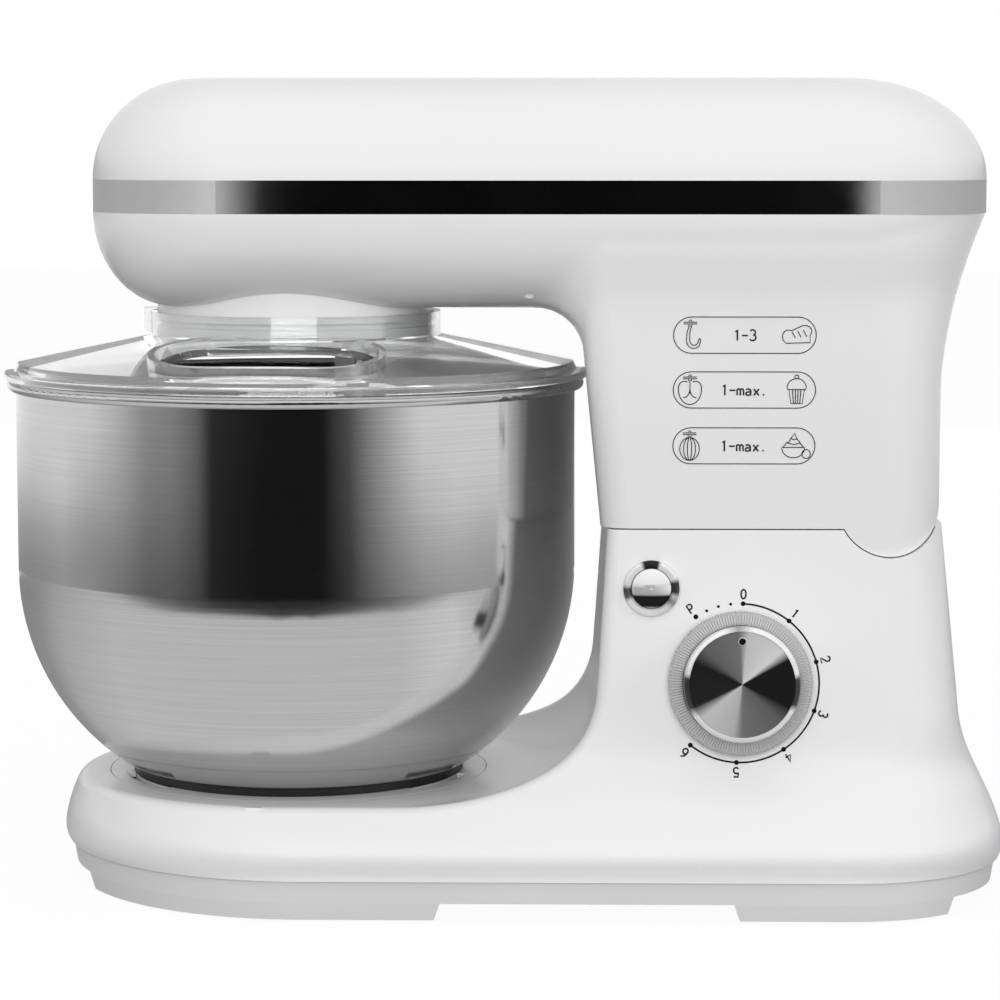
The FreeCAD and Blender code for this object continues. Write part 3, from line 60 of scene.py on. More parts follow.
# texture scales shared by the finishes, in noise cells per metre
texture = {"cloud": 9.0, "gloss": 260.0, "haze": 140.0, "inkGrain": 1800.0, "turnRings": 5200.0}


# small material builders
def startMaterial(name, **sockets):
    mat = bpy.data.materials.new(name)
    mat.use_nodes = True
    shader = mat.node_tree.nodes["Principled BSDF"]
    for key, value in sockets.items():
        shader.inputs[key.replace("_", " ")].default_value = value
    return mat, shader


def addNode(mat, kind, **values):
    node = mat.node_tree.nodes.new(kind)
    for key, value in values.items():
        if key in node.inputs:
            node.inputs[key].default_value = value
        else:
            setattr(node, key, value)
    return node


def wire(mat, start, end):
    mat.node_tree.links.new(start, end)


def coordsOf(mat, stretch=(1, 1, 1), shift=(0, 0, 0)):
    place = addNode(mat, "ShaderNodeTexCoord")
    mapping = addNode(mat, "ShaderNodeMapping")
    mapping.inputs["Scale"].default_value = stretch
    mapping.inputs["Location"].default_value = shift
    wire(mat, place.outputs["Object"], mapping.inputs["Vector"])
    return mapping.outputs["Vector"]


def noiseOf(mat, scale, detail, stretch=(1, 1, 1), rough=0.55):
    noise = addNode(mat, "ShaderNodeTexNoise")
    noise.inputs["Scale"].default_value = scale
    noise.inputs["Detail"].default_value = detail
    noise.inputs["Roughness"].default_value = rough
    wire(mat, coordsOf(mat, stretch), noise.inputs["Vector"])
    return noise.outputs["Fac"]


def rampOf(mat, fac, stops):
    ramp = addNode(mat, "ShaderNodeValToRGB")
    while len(ramp.color_ramp.elements) < len(stops):
        ramp.color_ramp.elements.new(0.5)
    for element, (place, colour) in zip(ramp.color_ramp.elements, stops):
        element.position = place
        grey = isinstance(colour, (int, float))
        element.color = (colour, colour, colour, 1) if grey else (*colour, 1)
    wire(mat, fac, ramp.inputs["Fac"])
    return ramp.outputs["Color"]


def bumpOf(mat, shader, height, strength, distance):
    bump = addNode(mat, "ShaderNodeBump")
    bump.inputs["Strength"].default_value = strength
    bump.inputs["Distance"].default_value = distance
    wire(mat, height, bump.inputs["Height"])
    wire(mat, bump.outputs["Normal"], shader.inputs["Normal"])


def mouldedPlastic(name, low, high, roughLow, roughHigh, coat=0.0, grain=900.0, bump=0.005):
    mat, shader = startMaterial(name, Coat_Weight=coat, Coat_Roughness=0.06, IOR=1.5)
    tint = rampOf(mat, noiseOf(mat, texture["cloud"], 2.0), [(0.35, low), (0.65, high)])
    gloss = rampOf(mat, noiseOf(mat, texture["gloss"], 4.0), [(0.3, roughLow), (0.7, roughHigh)])
    wire(mat, tint, shader.inputs["Base Color"])
    wire(mat, gloss, shader.inputs["Roughness"])
    bumpOf(mat, shader, noiseOf(mat, grain, 2.0), bump, 0.4 * mm)
    return mat


def turnedMetal(name, low, high, roughLow, roughHigh, stretch, bump=0.05, aniso=0.0, axis=None):
    mat, shader = startMaterial(name, Metallic=1.0, Anisotropic=aniso)
    lines = noiseOf(mat, 1.0, 5.0, stretch, 0.65)
    wire(mat, rampOf(mat, lines, [(0.25, low), (0.75, high)]), shader.inputs["Base Color"])
    wire(mat, rampOf(mat, lines, [(0.25, roughHigh), (0.75, roughLow)]), shader.inputs["Roughness"])
    bumpOf(mat, shader, lines, bump, 0.2 * mm)
    if axis:
        shader.inputs["Anisotropic Rotation"].default_value = 0.25    # blurs across the brush lines
        tangent = addNode(mat, "ShaderNodeTangent", direction_type="RADIAL", axis=axis)
        wire(mat, tangent.outputs["Tangent"], shader.inputs["Tangent"])
    return mat


# bowl: its axis, the painted shade on its inner wall and the two tones of its foot ring
bowl = {
    "x": -79.5 * mm, "middleZ": 160 * mm, "insideShadeTone": 0.15,
    "footPale": 0.62, "footDark": 0.012, "footDrop": 0.4 * mm,     # below the seat's top
}


def paintShadeInside(mat):
    # painted shade: the inner wall, where the normal points back to the axis, gets a dark base colour
    shader = mat.node_tree.nodes["Principled BSDF"]
    outer = shader.inputs["Base Color"].links[0].from_socket
    place = addNode(mat, "ShaderNodeNewGeometry")
    radial = addNode(mat, "ShaderNodeVectorMath", operation="SUBTRACT")
    radial.inputs[1].default_value = (bowl["x"], 0, bowl["middleZ"])
    facing = addNode(mat, "ShaderNodeVectorMath", operation="DOT_PRODUCT")
    wire(mat, place.outputs["Position"], radial.inputs[0])
    wire(mat, radial.outputs["Vector"], facing.inputs[0])
    wire(mat, place.outputs["Normal"], facing.inputs[1])
    side = addNode(mat, "ShaderNodeMath", operation="GREATER_THAN")
    wire(mat, facing.outputs["Value"], side.inputs[0])
    side.inputs[1].default_value = 0.0
    mix = addNode(mat, "ShaderNodeMix", data_type="RGBA")
    mix.inputs["A"].default_value = (*[bowl["insideShadeTone"]] * 3, 1)
    wire(mat, side.outputs[0], mix.inputs["Factor"])
    wire(mat, outer, mix.inputs["B"])
    wire(mat, mix.outputs["Result"], shader.inputs["Base Color"])


def clearPlastic(name, colour, rough):
    mat, shader = startMaterial(name, Transmission_Weight=0.9, IOR=1.46, Coat_Weight=1.0, Coat_IOR=1.6)
    shader.inputs["Base Color"].default_value = (*colour, 1)
    haze = noiseOf(mat, texture["haze"], 3.0)
    wire(mat, rampOf(mat, haze, [(0.35, rough), (0.75, rough * 2.2)]), shader.inputs["Roughness"])
    return mat


# finishes, one for each slot of the record
shellWhite = mouldedPlastic("shellWhite", 0.81, 0.825, 0.250, 0.262, coat=0.1)
skirtWhite = mouldedPlastic("skirtWhite", 0.74, 0.77, 0.36, 0.44)
seatWhite = mouldedPlastic("seatWhite", 0.80, 0.815, 0.255, 0.270, coat=0.1)
softBlack = mouldedPlastic("softBlack", 0.010, 0.018, 0.42, 0.56, grain=1600.0, bump=0.08)
footRubber = mouldedPlastic("footRubber", 0.016, 0.03, 0.62, 0.8, grain=1900.0, bump=0.16)
insideGrey = mouldedPlastic("insideGrey", 0.10, 0.13, 0.4, 0.5, grain=1300.0, bump=0.06)
gearNylon = mouldedPlastic("gearNylon", (0.70, 0.67, 0.55), (0.76, 0.73, 0.62), 0.38, 0.5)
boardGreen = mouldedPlastic("boardGreen", (0.01, 0.08, 0.03), (0.02, 0.13, 0.05), 0.3, 0.45)
beltRubber = mouldedPlastic("beltRubber", 0.012, 0.022, 0.6, 0.75, grain=2200.0, bump=0.2)
bowlSteel = turnedMetal("bowlSteel", 0.54, 0.63, 0.09, 0.14, (7, 7, 1900), 0.008, 0.5, "Z")
# painted shade on the bowl's inner wall
paintShadeInside(bowlSteel)
brightChrome = turnedMetal("brightChrome", 0.80, 0.86, 0.03, 0.07, (60, 60, 60), 0.01)
groundSteel = turnedMetal("groundSteel", 0.42, 0.58, 0.24, 0.36, (90, 90, 700))
castAlloy = turnedMetal("castAlloy", 0.48, 0.60, 0.38, 0.55, (420, 420, 420), 0.14)
satinAlloy = turnedMetal("satinAlloy", 0.58, 0.70, 0.26, 0.38, (300, 300, 300), 0.06)
lamination = turnedMetal("lamination", 0.10, 0.24, 0.4, 0.6, (3, 3, 1900), 0.3)
copperLow, copperHigh = (0.42, 0.14, 0.05), (0.68, 0.30, 0.13)
copperWire = turnedMetal("copperWire", copperLow, copperHigh, 0.25, 0.4, (1200, 1200, 3), 0.4)
bronzeLow, bronzeHigh = (0.42, 0.27, 0.11), (0.56, 0.39, 0.18)
sinteredBronze = turnedMetal("sinteredBronze", bronzeLow, bronzeHigh, 0.4, 0.55, (900, 900, 900), 0.2)
guardClear = clearPlastic("guardClear", (0.98, 0.985, 0.985), 0.012)


def turnShare(mat, split, up="Y"):
    # the turn about the piece's own axis as a share of a full circle, half of it at the top
    angle = addNode(mat, "ShaderNodeMath", operation="ARCTAN2")
    wire(mat, split.outputs["X"], angle.inputs[0])
    wire(mat, split.outputs[up], angle.inputs[1])
    share = addNode(mat, "ShaderNodeMath", operation="MULTIPLY_ADD")
    share.inputs[1].default_value = 0.5 / math.pi
    share.inputs[2].default_value = 0.5
    wire(mat, angle.outputs[0], share.inputs[0])
    return share.outputs[0]


# dial: finishes here, shapes further down
dial = {
    "x": 90.8 * mm, "z": 85.7 * mm, "faceY": -69.319 * mm, "lean": math.atan(0.13),
    "scaleRadius": 29.6 * mm, "lineWidth": 0.66 * mm, "dotRadius": 0.92 * mm, "smallDot": 0.56 * mm,
    "marks": "P0123456", "numberRadius": 33.2 * mm, "numberSize": 3.4 * mm, "numberPen": 0.6 * mm,
    "scaleTurn": 2.4, "step": 36.0, "sweep": 216.0,            # degrees
    "ribs": 150, "stepsPerRib": 6, "ribDepth": 0.30 * mm, "lip": (25.1 * mm, 25.4 * mm), "lipTone": 0.66,
    # painted light and shade on the ribs
    "ribLightShadeTones": [(0.0, 0.70), (0.25, 0.78), (0.8, 0.40)],      # greys along a rib's wave
    # radius and height in mm, from the inside out and back
    "ringProfile": [(10.2, 1.0), (26.3, 1.0), (26.9, 1.5), (26.9, 5.4), (26.2, 6.9), (25.2, 7.6),
                    (22.8, 7.95), (21.75, 7.9), (21.55, 7.5), (21.55, 3.05), (10.2, 3.05)],
    "sideRows": (2, 3, 4), "topRows": (4, 5, 6),               # points of the profile that the ribs cut
    "faceLift": 17.3 * mm, "faceThick": 1.6 * mm, "faceRadius": 19.45 * mm, "faceSteps": 96, "faceRings": 12,
    "pointerInner": 1.0 * mm, "pointerOuter": 1.5 * mm, "pointerFoot": 0.02 * mm, "pointerTop": 0.30 * mm,
    # painted reflection, in greys by share of a turn
    "faceReflectionTones": [(0.0, 0.22), (0.03, 0.58), (0.14, 0.66), (0.18, 0.02), (0.32, 0.015), (0.37, 0.15),
                  (0.49, 0.22), (0.52, 0.70), (0.64, 0.80), (0.67, 0.012), (0.82, 0.012), (0.87, 0.14),
                  (1.0, 0.22)],
    "bezelReflectionTones": [(0.0, 0.74), (0.17, 0.80), (0.20, 0.05), (0.285, 0.05), (0.30, 0.85), (0.45, 0.90),
                   (0.49, 0.35), (0.53, 0.88), (0.70, 0.82), (0.715, 0.05), (0.79, 0.05), (0.81, 0.80),
                   (1.0, 0.74)],
}


def spunDisc():
    # turned face: painted reflection in light and dark sectors round the middle, with fine rings over them
    mat, shader = startMaterial("spunDisc", Metallic=0.55, Anisotropic=0.6, Specular_IOR_Level=0.15)
    place = addNode(mat, "ShaderNodeTexCoord")
    split = addNode(mat, "ShaderNodeSeparateXYZ")
    wire(mat, place.outputs["Object"], split.inputs["Vector"])
    wire(mat, rampOf(mat, turnShare(mat, split), dial["faceReflectionTones"]), shader.inputs["Base Color"])
    dist = addNode(mat, "ShaderNodeVectorMath", operation="LENGTH")
    wire(mat, place.outputs["Object"], dist.inputs[0])
    rings = addNode(mat, "ShaderNodeTexNoise", noise_dimensions="1D")
    rings.inputs["Scale"].default_value = texture["turnRings"]
    wire(mat, dist.outputs["Value"], rings.inputs["W"])
    wire(mat, rampOf(mat, rings.outputs["Fac"], [(0.3, 0.42), (0.7, 0.32)]), shader.inputs["Roughness"])
    bumpOf(mat, shader, rings.outputs["Fac"], 0.10, 0.1 * mm)
    tangent = addNode(mat, "ShaderNodeTangent", direction_type="RADIAL", axis="Z")
    wire(mat, tangent.outputs["Tangent"], shader.inputs["Tangent"])
    return mat


def ribbedClear():
    # clear plastic with painted light and shade on its ribs: lighter on one side of each rib, darker on the
    # other
    mat, shader = startMaterial("ribbedClear", Transmission_Weight=0.3, IOR=1.46, Roughness=0.16)
    split = addNode(mat, "ShaderNodeSeparateXYZ")
    wire(mat, coordsOf(mat), split.inputs["Vector"])
    count = addNode(mat, "ShaderNodeMath", operation="MULTIPLY")
    count.inputs[1].default_value = 2 * math.pi * dial["ribs"]
    wire(mat, turnShare(mat, split), count.inputs[0])
    wave = addNode(mat, "ShaderNodeMath", operation="SINE")
    wire(mat, count.outputs[0], wave.inputs[0])
    dist = addNode(mat, "ShaderNodeVectorMath", operation="LENGTH")
    wire(mat, coordsOf(mat, stretch=(1, 1, 0)), dist.inputs[0])
    lip = addNode(mat, "ShaderNodeMapRange")              # the outer lip is smooth
    lip.inputs["From Min"].default_value, lip.inputs["From Max"].default_value = dial["lip"]
    wire(mat, dist.outputs["Value"], lip.inputs["Value"])
    mix = addNode(mat, "ShaderNodeMix", data_type="RGBA")
    mix.inputs["B"].default_value = (*[dial["lipTone"]] * 3, 1)
    wire(mat, lip.outputs["Result"], mix.inputs["Factor"])
    wire(mat, rampOf(mat, wave.outputs[0], dial["ribLightShadeTones"]), mix.inputs["A"])
    wire(mat, mix.outputs["Result"], shader.inputs["Base Color"])
    return mat


# release button: a polished dome in a polished ring, both with painted reflections
button = {
    "x": 57.8 * mm, "z": 120.6 * mm, "half": 8 * mm,
    # painted reflection, in greys by share of height on the dome and by share of a turn on the ring
    "domeReflectionTones": [(0.05, 0.60), (0.11, 0.010), (0.34, 0.010), (0.39, 0.70), (0.95, 0.90)],
    "bezelReflectionTones": [(0.0, 0.80), (0.17, 0.85), (0.20, 0.12), (0.25, 0.08), (0.28, 0.80), (0.43, 0.88),
                   (0.455, 0.02), (0.54, 0.02), (0.56, 0.88), (0.68, 0.80), (0.71, 0.05), (0.77, 0.05),
                   (0.80, 0.60), (0.84, 0.25), (0.88, 0.72), (1.0, 0.80)],
}


def paintedReflectionDome():
    # painted reflection: bright crown over a dark lower third
    mat, shader = startMaterial("paintedReflectionDome", Metallic=0.45, Roughness=0.08, Specular_IOR_Level=0.15)
    split = addNode(mat, "ShaderNodeSeparateXYZ")
    wire(mat, coordsOf(mat), split.inputs["Vector"])
    height = addNode(mat, "ShaderNodeMapRange")
    height.inputs["From Min"].default_value = button["z"] - button["half"]
    height.inputs["From Max"].default_value = button["z"] + button["half"]
    wire(mat, split.outputs["Z"], height.inputs["Value"])
    wire(mat, rampOf(mat, height.outputs["Result"], button["domeReflectionTones"]), shader.inputs["Base Color"])
    return mat


def paintedReflectionBezel(name, owner):
    # polished ring with painted reflection: dark and bright arcs run round its owner's middle
    mat, shader = startMaterial(name, Metallic=0.3, Roughness=0.09, Specular_IOR_Level=0.25)
    split = addNode(mat, "ShaderNodeSeparateXYZ")
    wire(mat, coordsOf(mat, shift=(-owner["x"], 0, -owner["z"])), split.inputs["Vector"])
    wire(mat, rampOf(mat, turnShare(mat, split, "Z"), owner["bezelReflectionTones"]), shader.inputs["Base Color"])
    return mat


def twoTone(name, level, low, high):
    # moulded in one tone up to a level and another above it
    mat = mouldedPlastic(name, low, low * 1.05, 0.4, 0.5)
    shader = mat.node_tree.nodes["Principled BSDF"]
    split = addNode(mat, "ShaderNodeSeparateXYZ")
    wire(mat, coordsOf(mat), split.inputs["Vector"])
    above = addNode(mat, "ShaderNodeMath", operation="GREATER_THAN")
    above.inputs[1].default_value = level
    wire(mat, split.outputs["Z"], above.inputs[0])
    mix = addNode(mat, "ShaderNodeMix", data_type="RGBA")
    mix.inputs["B"].default_value = (high, high, high, 1)
    wire(mat, above.outputs[0], mix.inputs["Factor"])
    wire(mat, shader.inputs["Base Color"].links[0].from_socket, mix.inputs["A"])
    wire(mat, mix.outputs["Result"], shader.inputs["Base Color"])
    return mat


def printInk(name, colour):
    mat, shader = startMaterial(name, Roughness=0.5, Specular_IOR_Level=0.15)
    worn = tuple(c * 1.5 for c in colour)
    tint = rampOf(mat, noiseOf(mat, texture["inkGrain"], 2.0), [(0.3, colour), (0.7, worn)])
    wire(mat, tint, shader.inputs["Base Color"])
    return mat


spunSteel = spunDisc()
knurlClear = ribbedClear()
scaleInk = printInk("scaleInk", (0.003, 0.003, 0.004))
guideInk = printInk("guideInk", (0.006, 0.006, 0.012))
finishes = {
    "white_shell": shellWhite, "skirt_plastic": skirtWhite, "seat_plastic": seatWhite,
    "rubber_foot": footRubber, "bright_chrome": brightChrome, "spun_disc": groundSteel,
    "clear_knurl": knurlClear, "clear_guard": guardClear, "bowl_steel": bowlSteel,
    "black_plastic": softBlack, "grey_plastic": insideGrey, "bright_steel": groundSteel,
    "cast_alloy": castAlloy, "beater_alloy": satinAlloy, "gear_nylon": gearNylon,
    "belt_rubber": beltRubber, "lamination": lamination, "copper_wire": copperWire,
    "bronze": sinteredBronze, "board_green": boardGreen,
}
for part in frame["record"]["subparts"]:
    piece = nodes[part["node"]]
    piece.data.materials.clear()
    piece.data.materials.append(finishes[part["material_slot"]])
# painted reflection on the release button's dome
nodes["release_button"].data.materials[0] = paintedReflectionDome()
nodes["dial_pointer"].data.materials[0] = scaleInk
# painted reflection on the button's ring and on the dial's ring
nodes["button_bezel"].data.materials[0] = paintedReflectionBezel("buttonRing", button)
nodes["dial_bezel"].data.materials[0] = paintedReflectionBezel("dialRing", dial)
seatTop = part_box("bowl_seat")[1][2]
footTones = twoTone("footTones", seatTop - bowl["footDrop"], bowl["footPale"], bowl["footDark"])
nodes["bowl_foot_ring"].data.materials[0] = footTones
print("mixer: finishes set")


# shared mesh helpers
def newPiece(name, verts, faces, mat, body, smooth=True):
    mesh = bpy.data.meshes.new(name)
    mesh.from_pydata(verts, [], faces)
    mesh.validate()
    mesh.materials.append(mat)
    for face in mesh.polygons:
        face.use_smooth = smooth
    piece = bpy.data.objects.new(name, mesh)
    scene.collection.objects.link(piece)
    if body:
        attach(piece, body)
    return piece


def surfaceOf(node):
    mesh = nodes[node].data
    points = [v.co.copy() for v in mesh.vertices]
    return BVHTree.FromPolygons(points, [tuple(p.vertices) for p in mesh.polygons])


def ribbon(points, width, closed=False):
    # a flat line of this width along 2D points
    verts, faces, count = [], [], len(points)
    for i, (x, y) in enumerate(points):
        before = points[(i - 1) % count] if closed or i else points[i]
        after = points[(i + 1) % count] if closed or i < count - 1 else points[i]
        run = Vector((after[0] - before[0], after[1] - before[1]))
        run.normalize()
        side = Vector((-run.y, run.x)) * width / 2
        verts += [(x + side.x, y + side.y), (x - side.x, y - side.y)]
    for i in range(count if closed else count - 1):
        a, b = 2 * i, 2 * ((i + 1) % count)
        faces.append((a, b, b + 1, a + 1))
    return verts, faces


def disc(x, y, radius, steps=20):
    verts = [(x, y)] + arcPoints(x, y, radius, radius, 0, 360, steps)[:-1]
    return verts, [(0, i + 1, (i + 1) % steps + 1) for i in range(steps)]


def arcPoints(x, y, rx, ry, start, end, steps):
    # degrees, counted from +x towards +y
    turn = [math.radians(start + (end - start) * i / steps) for i in range(steps + 1)]
    return [(x + rx * math.cos(t), y + ry * math.sin(t)) for t in turn]


def sign(mark):
    # plain drafting strokes on a sheet one unit high
    if mark == "0":
        return [arcPoints(0, 0, 0.27, 0.5, 0, 360, 24)]
    if mark == "1":
        return [[(-0.14, 0.30), (0.04, 0.5), (0.04, -0.5)]]
    if mark == "2":
        return [arcPoints(0, 0.22, 0.27, 0.28, 165, -35, 14) + [(-0.28, -0.5), (0.30, -0.5)]]
    if mark == "3":
        top, foot = (-0.02, 0.25, 0.25, 0.25, 150, -80, 12), (-0.02, -0.22, 0.29, 0.28, 75, -150, 14)
        return [arcPoints(*top) + arcPoints(*foot)]
    if mark == "4":
        return [[(0.12, -0.5), (0.12, 0.5), (-0.30, -0.17), (0.32, -0.17)]]
    if mark == "5":
        return [[(0.26, 0.5), (-0.20, 0.5), (-0.24, 0.05)] + arcPoints(0, -0.18, 0.28, 0.32, 125, -145, 16)]
    if mark == "6":
        return [arcPoints(0.09, -0.12, 0.36, 0.62, 85, 180, 10) + arcPoints(0, -0.2, 0.27, 0.3, 180, 540, 22)]
    if mark == "P":
        bow = arcPoints(0.04, 0.23, 0.24, 0.27, 80, -90, 12)
        return [[(-0.22, -0.5), (-0.22, 0.5), (0.04, 0.5)] + bow + [(-0.22, -0.04)]]
    if mark == "m":
        humps = [arcPoints(x, -0.08, 0.15, 0.18, 180, 0, 8) + [(x + 0.15, -0.5)] for x in (-0.15, 0.15)]
        return [[(-0.30, -0.5), (-0.30, 0.1)]] + humps
    if mark == "a":
        return [arcPoints(0, -0.08, 0.22, 0.18, 150, 0, 8) + [(0.22, -0.5)],
                [(0.22, -0.2), (0, -0.18)] + arcPoints(-0.02, -0.34, 0.2, 0.16, 90, 270, 10) + [(0.22, -0.4)]]
    if mark == "x":
        return [[(-0.24, 0.1), (0.24, -0.5)], [(0.24, 0.1), (-0.24, -0.5)]]
    if mark == "-":
        return [[(-0.26, -0.03), (0.26, -0.03)]]
    return [[(-0.14, -0.44), (0.0, -0.44)]]


def lettering(words, size, pen, pitch=0.74):
    # a line of signs, centred on the origin, spaced by a share of their height
    shapes = []
    for i, mark in enumerate(words):
        across = (i - (len(words) - 1) / 2) * pitch
        for stroke in sign(mark):
            shapes.append(ribbon([((x + across) * size, y * size) for x, y in stroke], pen))
    return gather(shapes)


def turnFlat(shape, angle, x, y):
    c, s = math.cos(angle), math.sin(angle)
    return [(x + vx * c - vy * s, y + vx * s + vy * c) for vx, vy in shape[0]], shape[1]


def gather(shapes):
    verts, faces = [], []
    for more, quads in shapes:
        base = len(verts)
        verts += more
        faces += [tuple(base + i for i in face) for face in quads]
    return verts, faces


film = {"reach": 20 * mm, "lift": 0.04 * mm, "thick": 0.12 * mm}     # every print is a thin film


def printOn(name, shapes, plane, node, mat, body):
    # lays flat artwork on a moulded face: every point is dropped onto the node along the plane's normal
    verts, faces = gather(shapes)
    surface = surfaceOf(node)
    normal = (plane.to_3x3() @ Vector((0, 0, 1))).normalized()
    placed = []
    for x, y in verts:
        hit = surface.ray_cast(plane @ Vector((x, y, film["reach"])), -normal)[0]
        placed.append((hit if hit else plane @ Vector((x, y, 0))) + normal * film["lift"])
    piece = newPiece(name, placed, faces, mat, body, smooth=False)
    thick = piece.modifiers.new("film", "SOLIDIFY")
    thick.thickness = film["thick"]
    thick.offset = -1.0


# dial: scale print, ribbed ring, turned face, by the dictionary above its finishes
def dialPlane(lift=0.0):
    lean = dial["lean"]
    up = Vector((0, math.sin(lean), math.cos(lean)))
    out = Vector((0, -math.cos(lean), math.sin(lean)))
    place = Matrix(((1, 0, 0), up, out)).transposed().to_4x4()
    place.translation = Vector((dial["x"], dial["faceY"], dial["z"])) + out * lift
    return place


def dialScale():
    shapes = []

    def at(degrees, radius):
        turn = math.radians(90 - dial["scaleTurn"] - degrees)
        return radius * math.cos(turn), radius * math.sin(turn)

    steps = 160
    arc = [at(dial["sweep"] * i / steps, dial["scaleRadius"]) for i in range(steps + 1)]
    shapes.append(ribbon(arc, dial["lineWidth"]))
    for i, mark in enumerate(dial["marks"]):
        degrees = (i - 1) * dial["step"]                       # the first mark lies before zero
        shapes.append(disc(*at(degrees, dial["scaleRadius"]), dial["dotRadius"]))
        turn = math.radians(-dial["scaleTurn"] - degrees)
        number = lettering(mark, dial["numberSize"], dial["numberPen"])
        shapes.append(turnFlat(number, turn, *at(degrees, dial["numberRadius"])))
    for quarter in (1, 2, 3):
        shapes.append(disc(*at(-dial["step"] * quarter / 4, dial["scaleRadius"]), dial["smallDot"]))
    printOn("dialScalePrint", shapes, dialPlane(), "base_housing", scaleInk, "base")


def dialPiece(name, verts, faces, mat, lift, node, smooth):
    # a turned piece with its own axis, in place of the plain solid
    piece = newPiece(name, verts, faces, mat, None, smooth)
    piece.matrix_world = dialPlane(lift)
    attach(piece, "dial")
    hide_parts(node)


def dialRing():
    profile, perRib = dial["ringProfile"], dial["stepsPerRib"]
    rows, steps = len(profile), dial["ribs"] * perRib
    verts, faces = [], []
    for i in range(steps):
        turn = 2 * math.pi * i / steps
        dip = dial["ribDepth"] * (math.cos(2 * math.pi * i / perRib) - 1) / 2
        for j, (radius, height) in enumerate(profile):
            r = radius * mm + (dip if j in dial["sideRows"] else 0)
            h = height * mm + (dip if j in dial["topRows"] else 0)
            verts.append((r * math.cos(turn), r * math.sin(turn), h))
    for i in range(steps):
        here, there = i * rows, (i + 1) % steps * rows
        for j in range(rows):
            k = (j + 1) % rows
            faces.append((here + j, there + j, there + k, here + k))
    dialPiece("dialRibbedRing", verts, faces, knurlClear, 0.0, "dial_knurled_ring", True)


def dialFace():
    thick, steps, rings = dial["faceThick"], dial["faceSteps"], dial["faceRings"]
    verts, faces = [(0, 0, thick)], []
    for k in range(1, rings + 1):
        r = dial["faceRadius"] * k / rings
        verts += [(x, y, thick) for x, y in arcPoints(0, 0, r, r, 0, 360, steps)[:-1]]
    for i in range(steps):
        j = (i + 1) % steps
        faces.append((0, 1 + i, 1 + j))
        for k in range(rings - 1):
            a, b = 1 + k * steps + i, 1 + k * steps + j
            faces.append((a, a + steps, b + steps, b))
    low = len(verts)
    rim = low - steps
    verts += [(*point[:2], 0) for point in verts[rim:]]
    for i in range(steps):
        j = (i + 1) % steps
        faces.append((rim + i, low + i, low + j, rim + j))
    faces.append(tuple(low + i for i in reversed(range(steps))))
    dialPiece("dialTurnedFace", verts, faces, spunSteel, dial["faceLift"], "dial_cap", False)


def pointerRing():
    # light ring moulded round the pointer's dot
    low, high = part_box("dial_pointer")
    middle = (Vector(low) + Vector(high)) / 2
    flat = dialPlane().inverted() @ middle
    inner, outer, steps = dial["pointerInner"], dial["pointerOuter"], 40
    foot, top = dial["pointerFoot"], dial["pointerTop"]
    verts, faces = [], []
    for radius, height in ((inner, foot), (inner, top), (outer, top), (outer, foot)):
        lift = dial["faceLift"] + dial["faceThick"] + height
        verts += [(x, y, lift) for x, y in arcPoints(flat.x, flat.y, radius, radius, 0, 360, steps)[:-1]]
    for row in range(4):
        here, there = row * steps, (row + 1) % 4 * steps
        for i in range(steps):
            j = (i + 1) % steps
            faces.append((here + i, here + j, there + j, there + i))
    piece = newPiece("pointerRing", verts, faces, shellWhite, None)
    piece.matrix_world = dialPlane()
    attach(piece, "dial")


dialScale()
pointerRing()
dialRing()
dialFace()
print("mixer: dial dressed")


# latch spring: a wound coil, in place of the plain solid
spring = {
    "wire": 0.9 * mm, "coilRadius": 3.6 * mm, "turns": 6, "stepsPerTurn": 24, "wireSides": 8,
    "keep": 0.64,                             # share of its length when the latch is right back
}


def latchSpring():
    low, high = (Vector(corner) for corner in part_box("latch_spring"))
    middle = (low + high) / 2
    steps, sides = spring["turns"] * spring["stepsPerTurn"], spring["wireSides"]
    run = high.y - low.y - 2 * spring["wire"]
    verts, faces = [], []
    for i in range(steps + 1):
        turn = 2 * math.pi * i / spring["stepsPerTurn"]
        out = Vector((math.cos(turn), 0, math.sin(turn)))
        along = low.y + spring["wire"] + run * i / steps
        spine = Vector((middle.x, along, middle.z)) + out * spring["coilRadius"]
        for k in range(sides):
            lean = 2 * math.pi * k / sides
            verts.append(spine + (out * math.cos(lean) + Vector((0, math.sin(lean), 0))) * spring["wire"])
    for i in range(steps):
        for k in range(sides):
            a, b = i * sides + k, i * sides + (k + 1) % sides
            faces.append((a, b, b + sides, a + sides))
    faces += [tuple(reversed(range(sides))), tuple(steps * sides + k for k in range(sides))]
    piece = newPiece("latchSpringCoil", verts, faces, groundSteel, "base")
    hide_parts("latch_spring")
    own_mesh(piece)


latchSpring()
print("mixer: latch spring wound")


# speed guide: outlined pills on the column's near side
guide = {
    "x": 92.0 * mm, "heights": (215.3 * mm, 194.9 * mm, 174.0 * mm), "faceY": -64.0 * mm,
    "half": (26.4 * mm, 6.75 * mm), "line": 0.34 * mm, "pen": 0.34 * mm, "textSize": 4.0 * mm,
    "textPen": 0.58 * mm, "toolX": -20.2 * mm, "foodX": 19.4 * mm, "sketchSize": 1.3 * mm,
}


def pill():
    reach, half = guide["half"]
    straight = reach - half
    right = arcPoints(straight, 0, half, half, -90, 90, 24)
    left = arcPoints(-straight, 0, half, half, 90, 270, 24)
    return ribbon(right + left, guide["line"], closed=True)


def drawn(paths, x):
    # paths are lists of points on a 10-unit sketch sheet
    size = guide["sketchSize"]
    shapes = []
    for points, closed in paths:
        shapes.append(ribbon([(x + px * size, py * size) for px, py in points], guide["pen"], closed))
    return shapes


def toolHead():
    plate = [(-1.9, 3.7), (1.9, 3.7), (1.9, 3.2), (-1.9, 3.2)]
    stub = [(-0.35, 3.7), (-0.35, 4.3), (0.35, 4.3), (0.35, 3.7)]
    shank = [(-0.5, 3.2), (-0.4, 2.6), (0.4, 2.6), (0.5, 3.2)]
    return [(plate, True), (stub, True), (shank, False)]


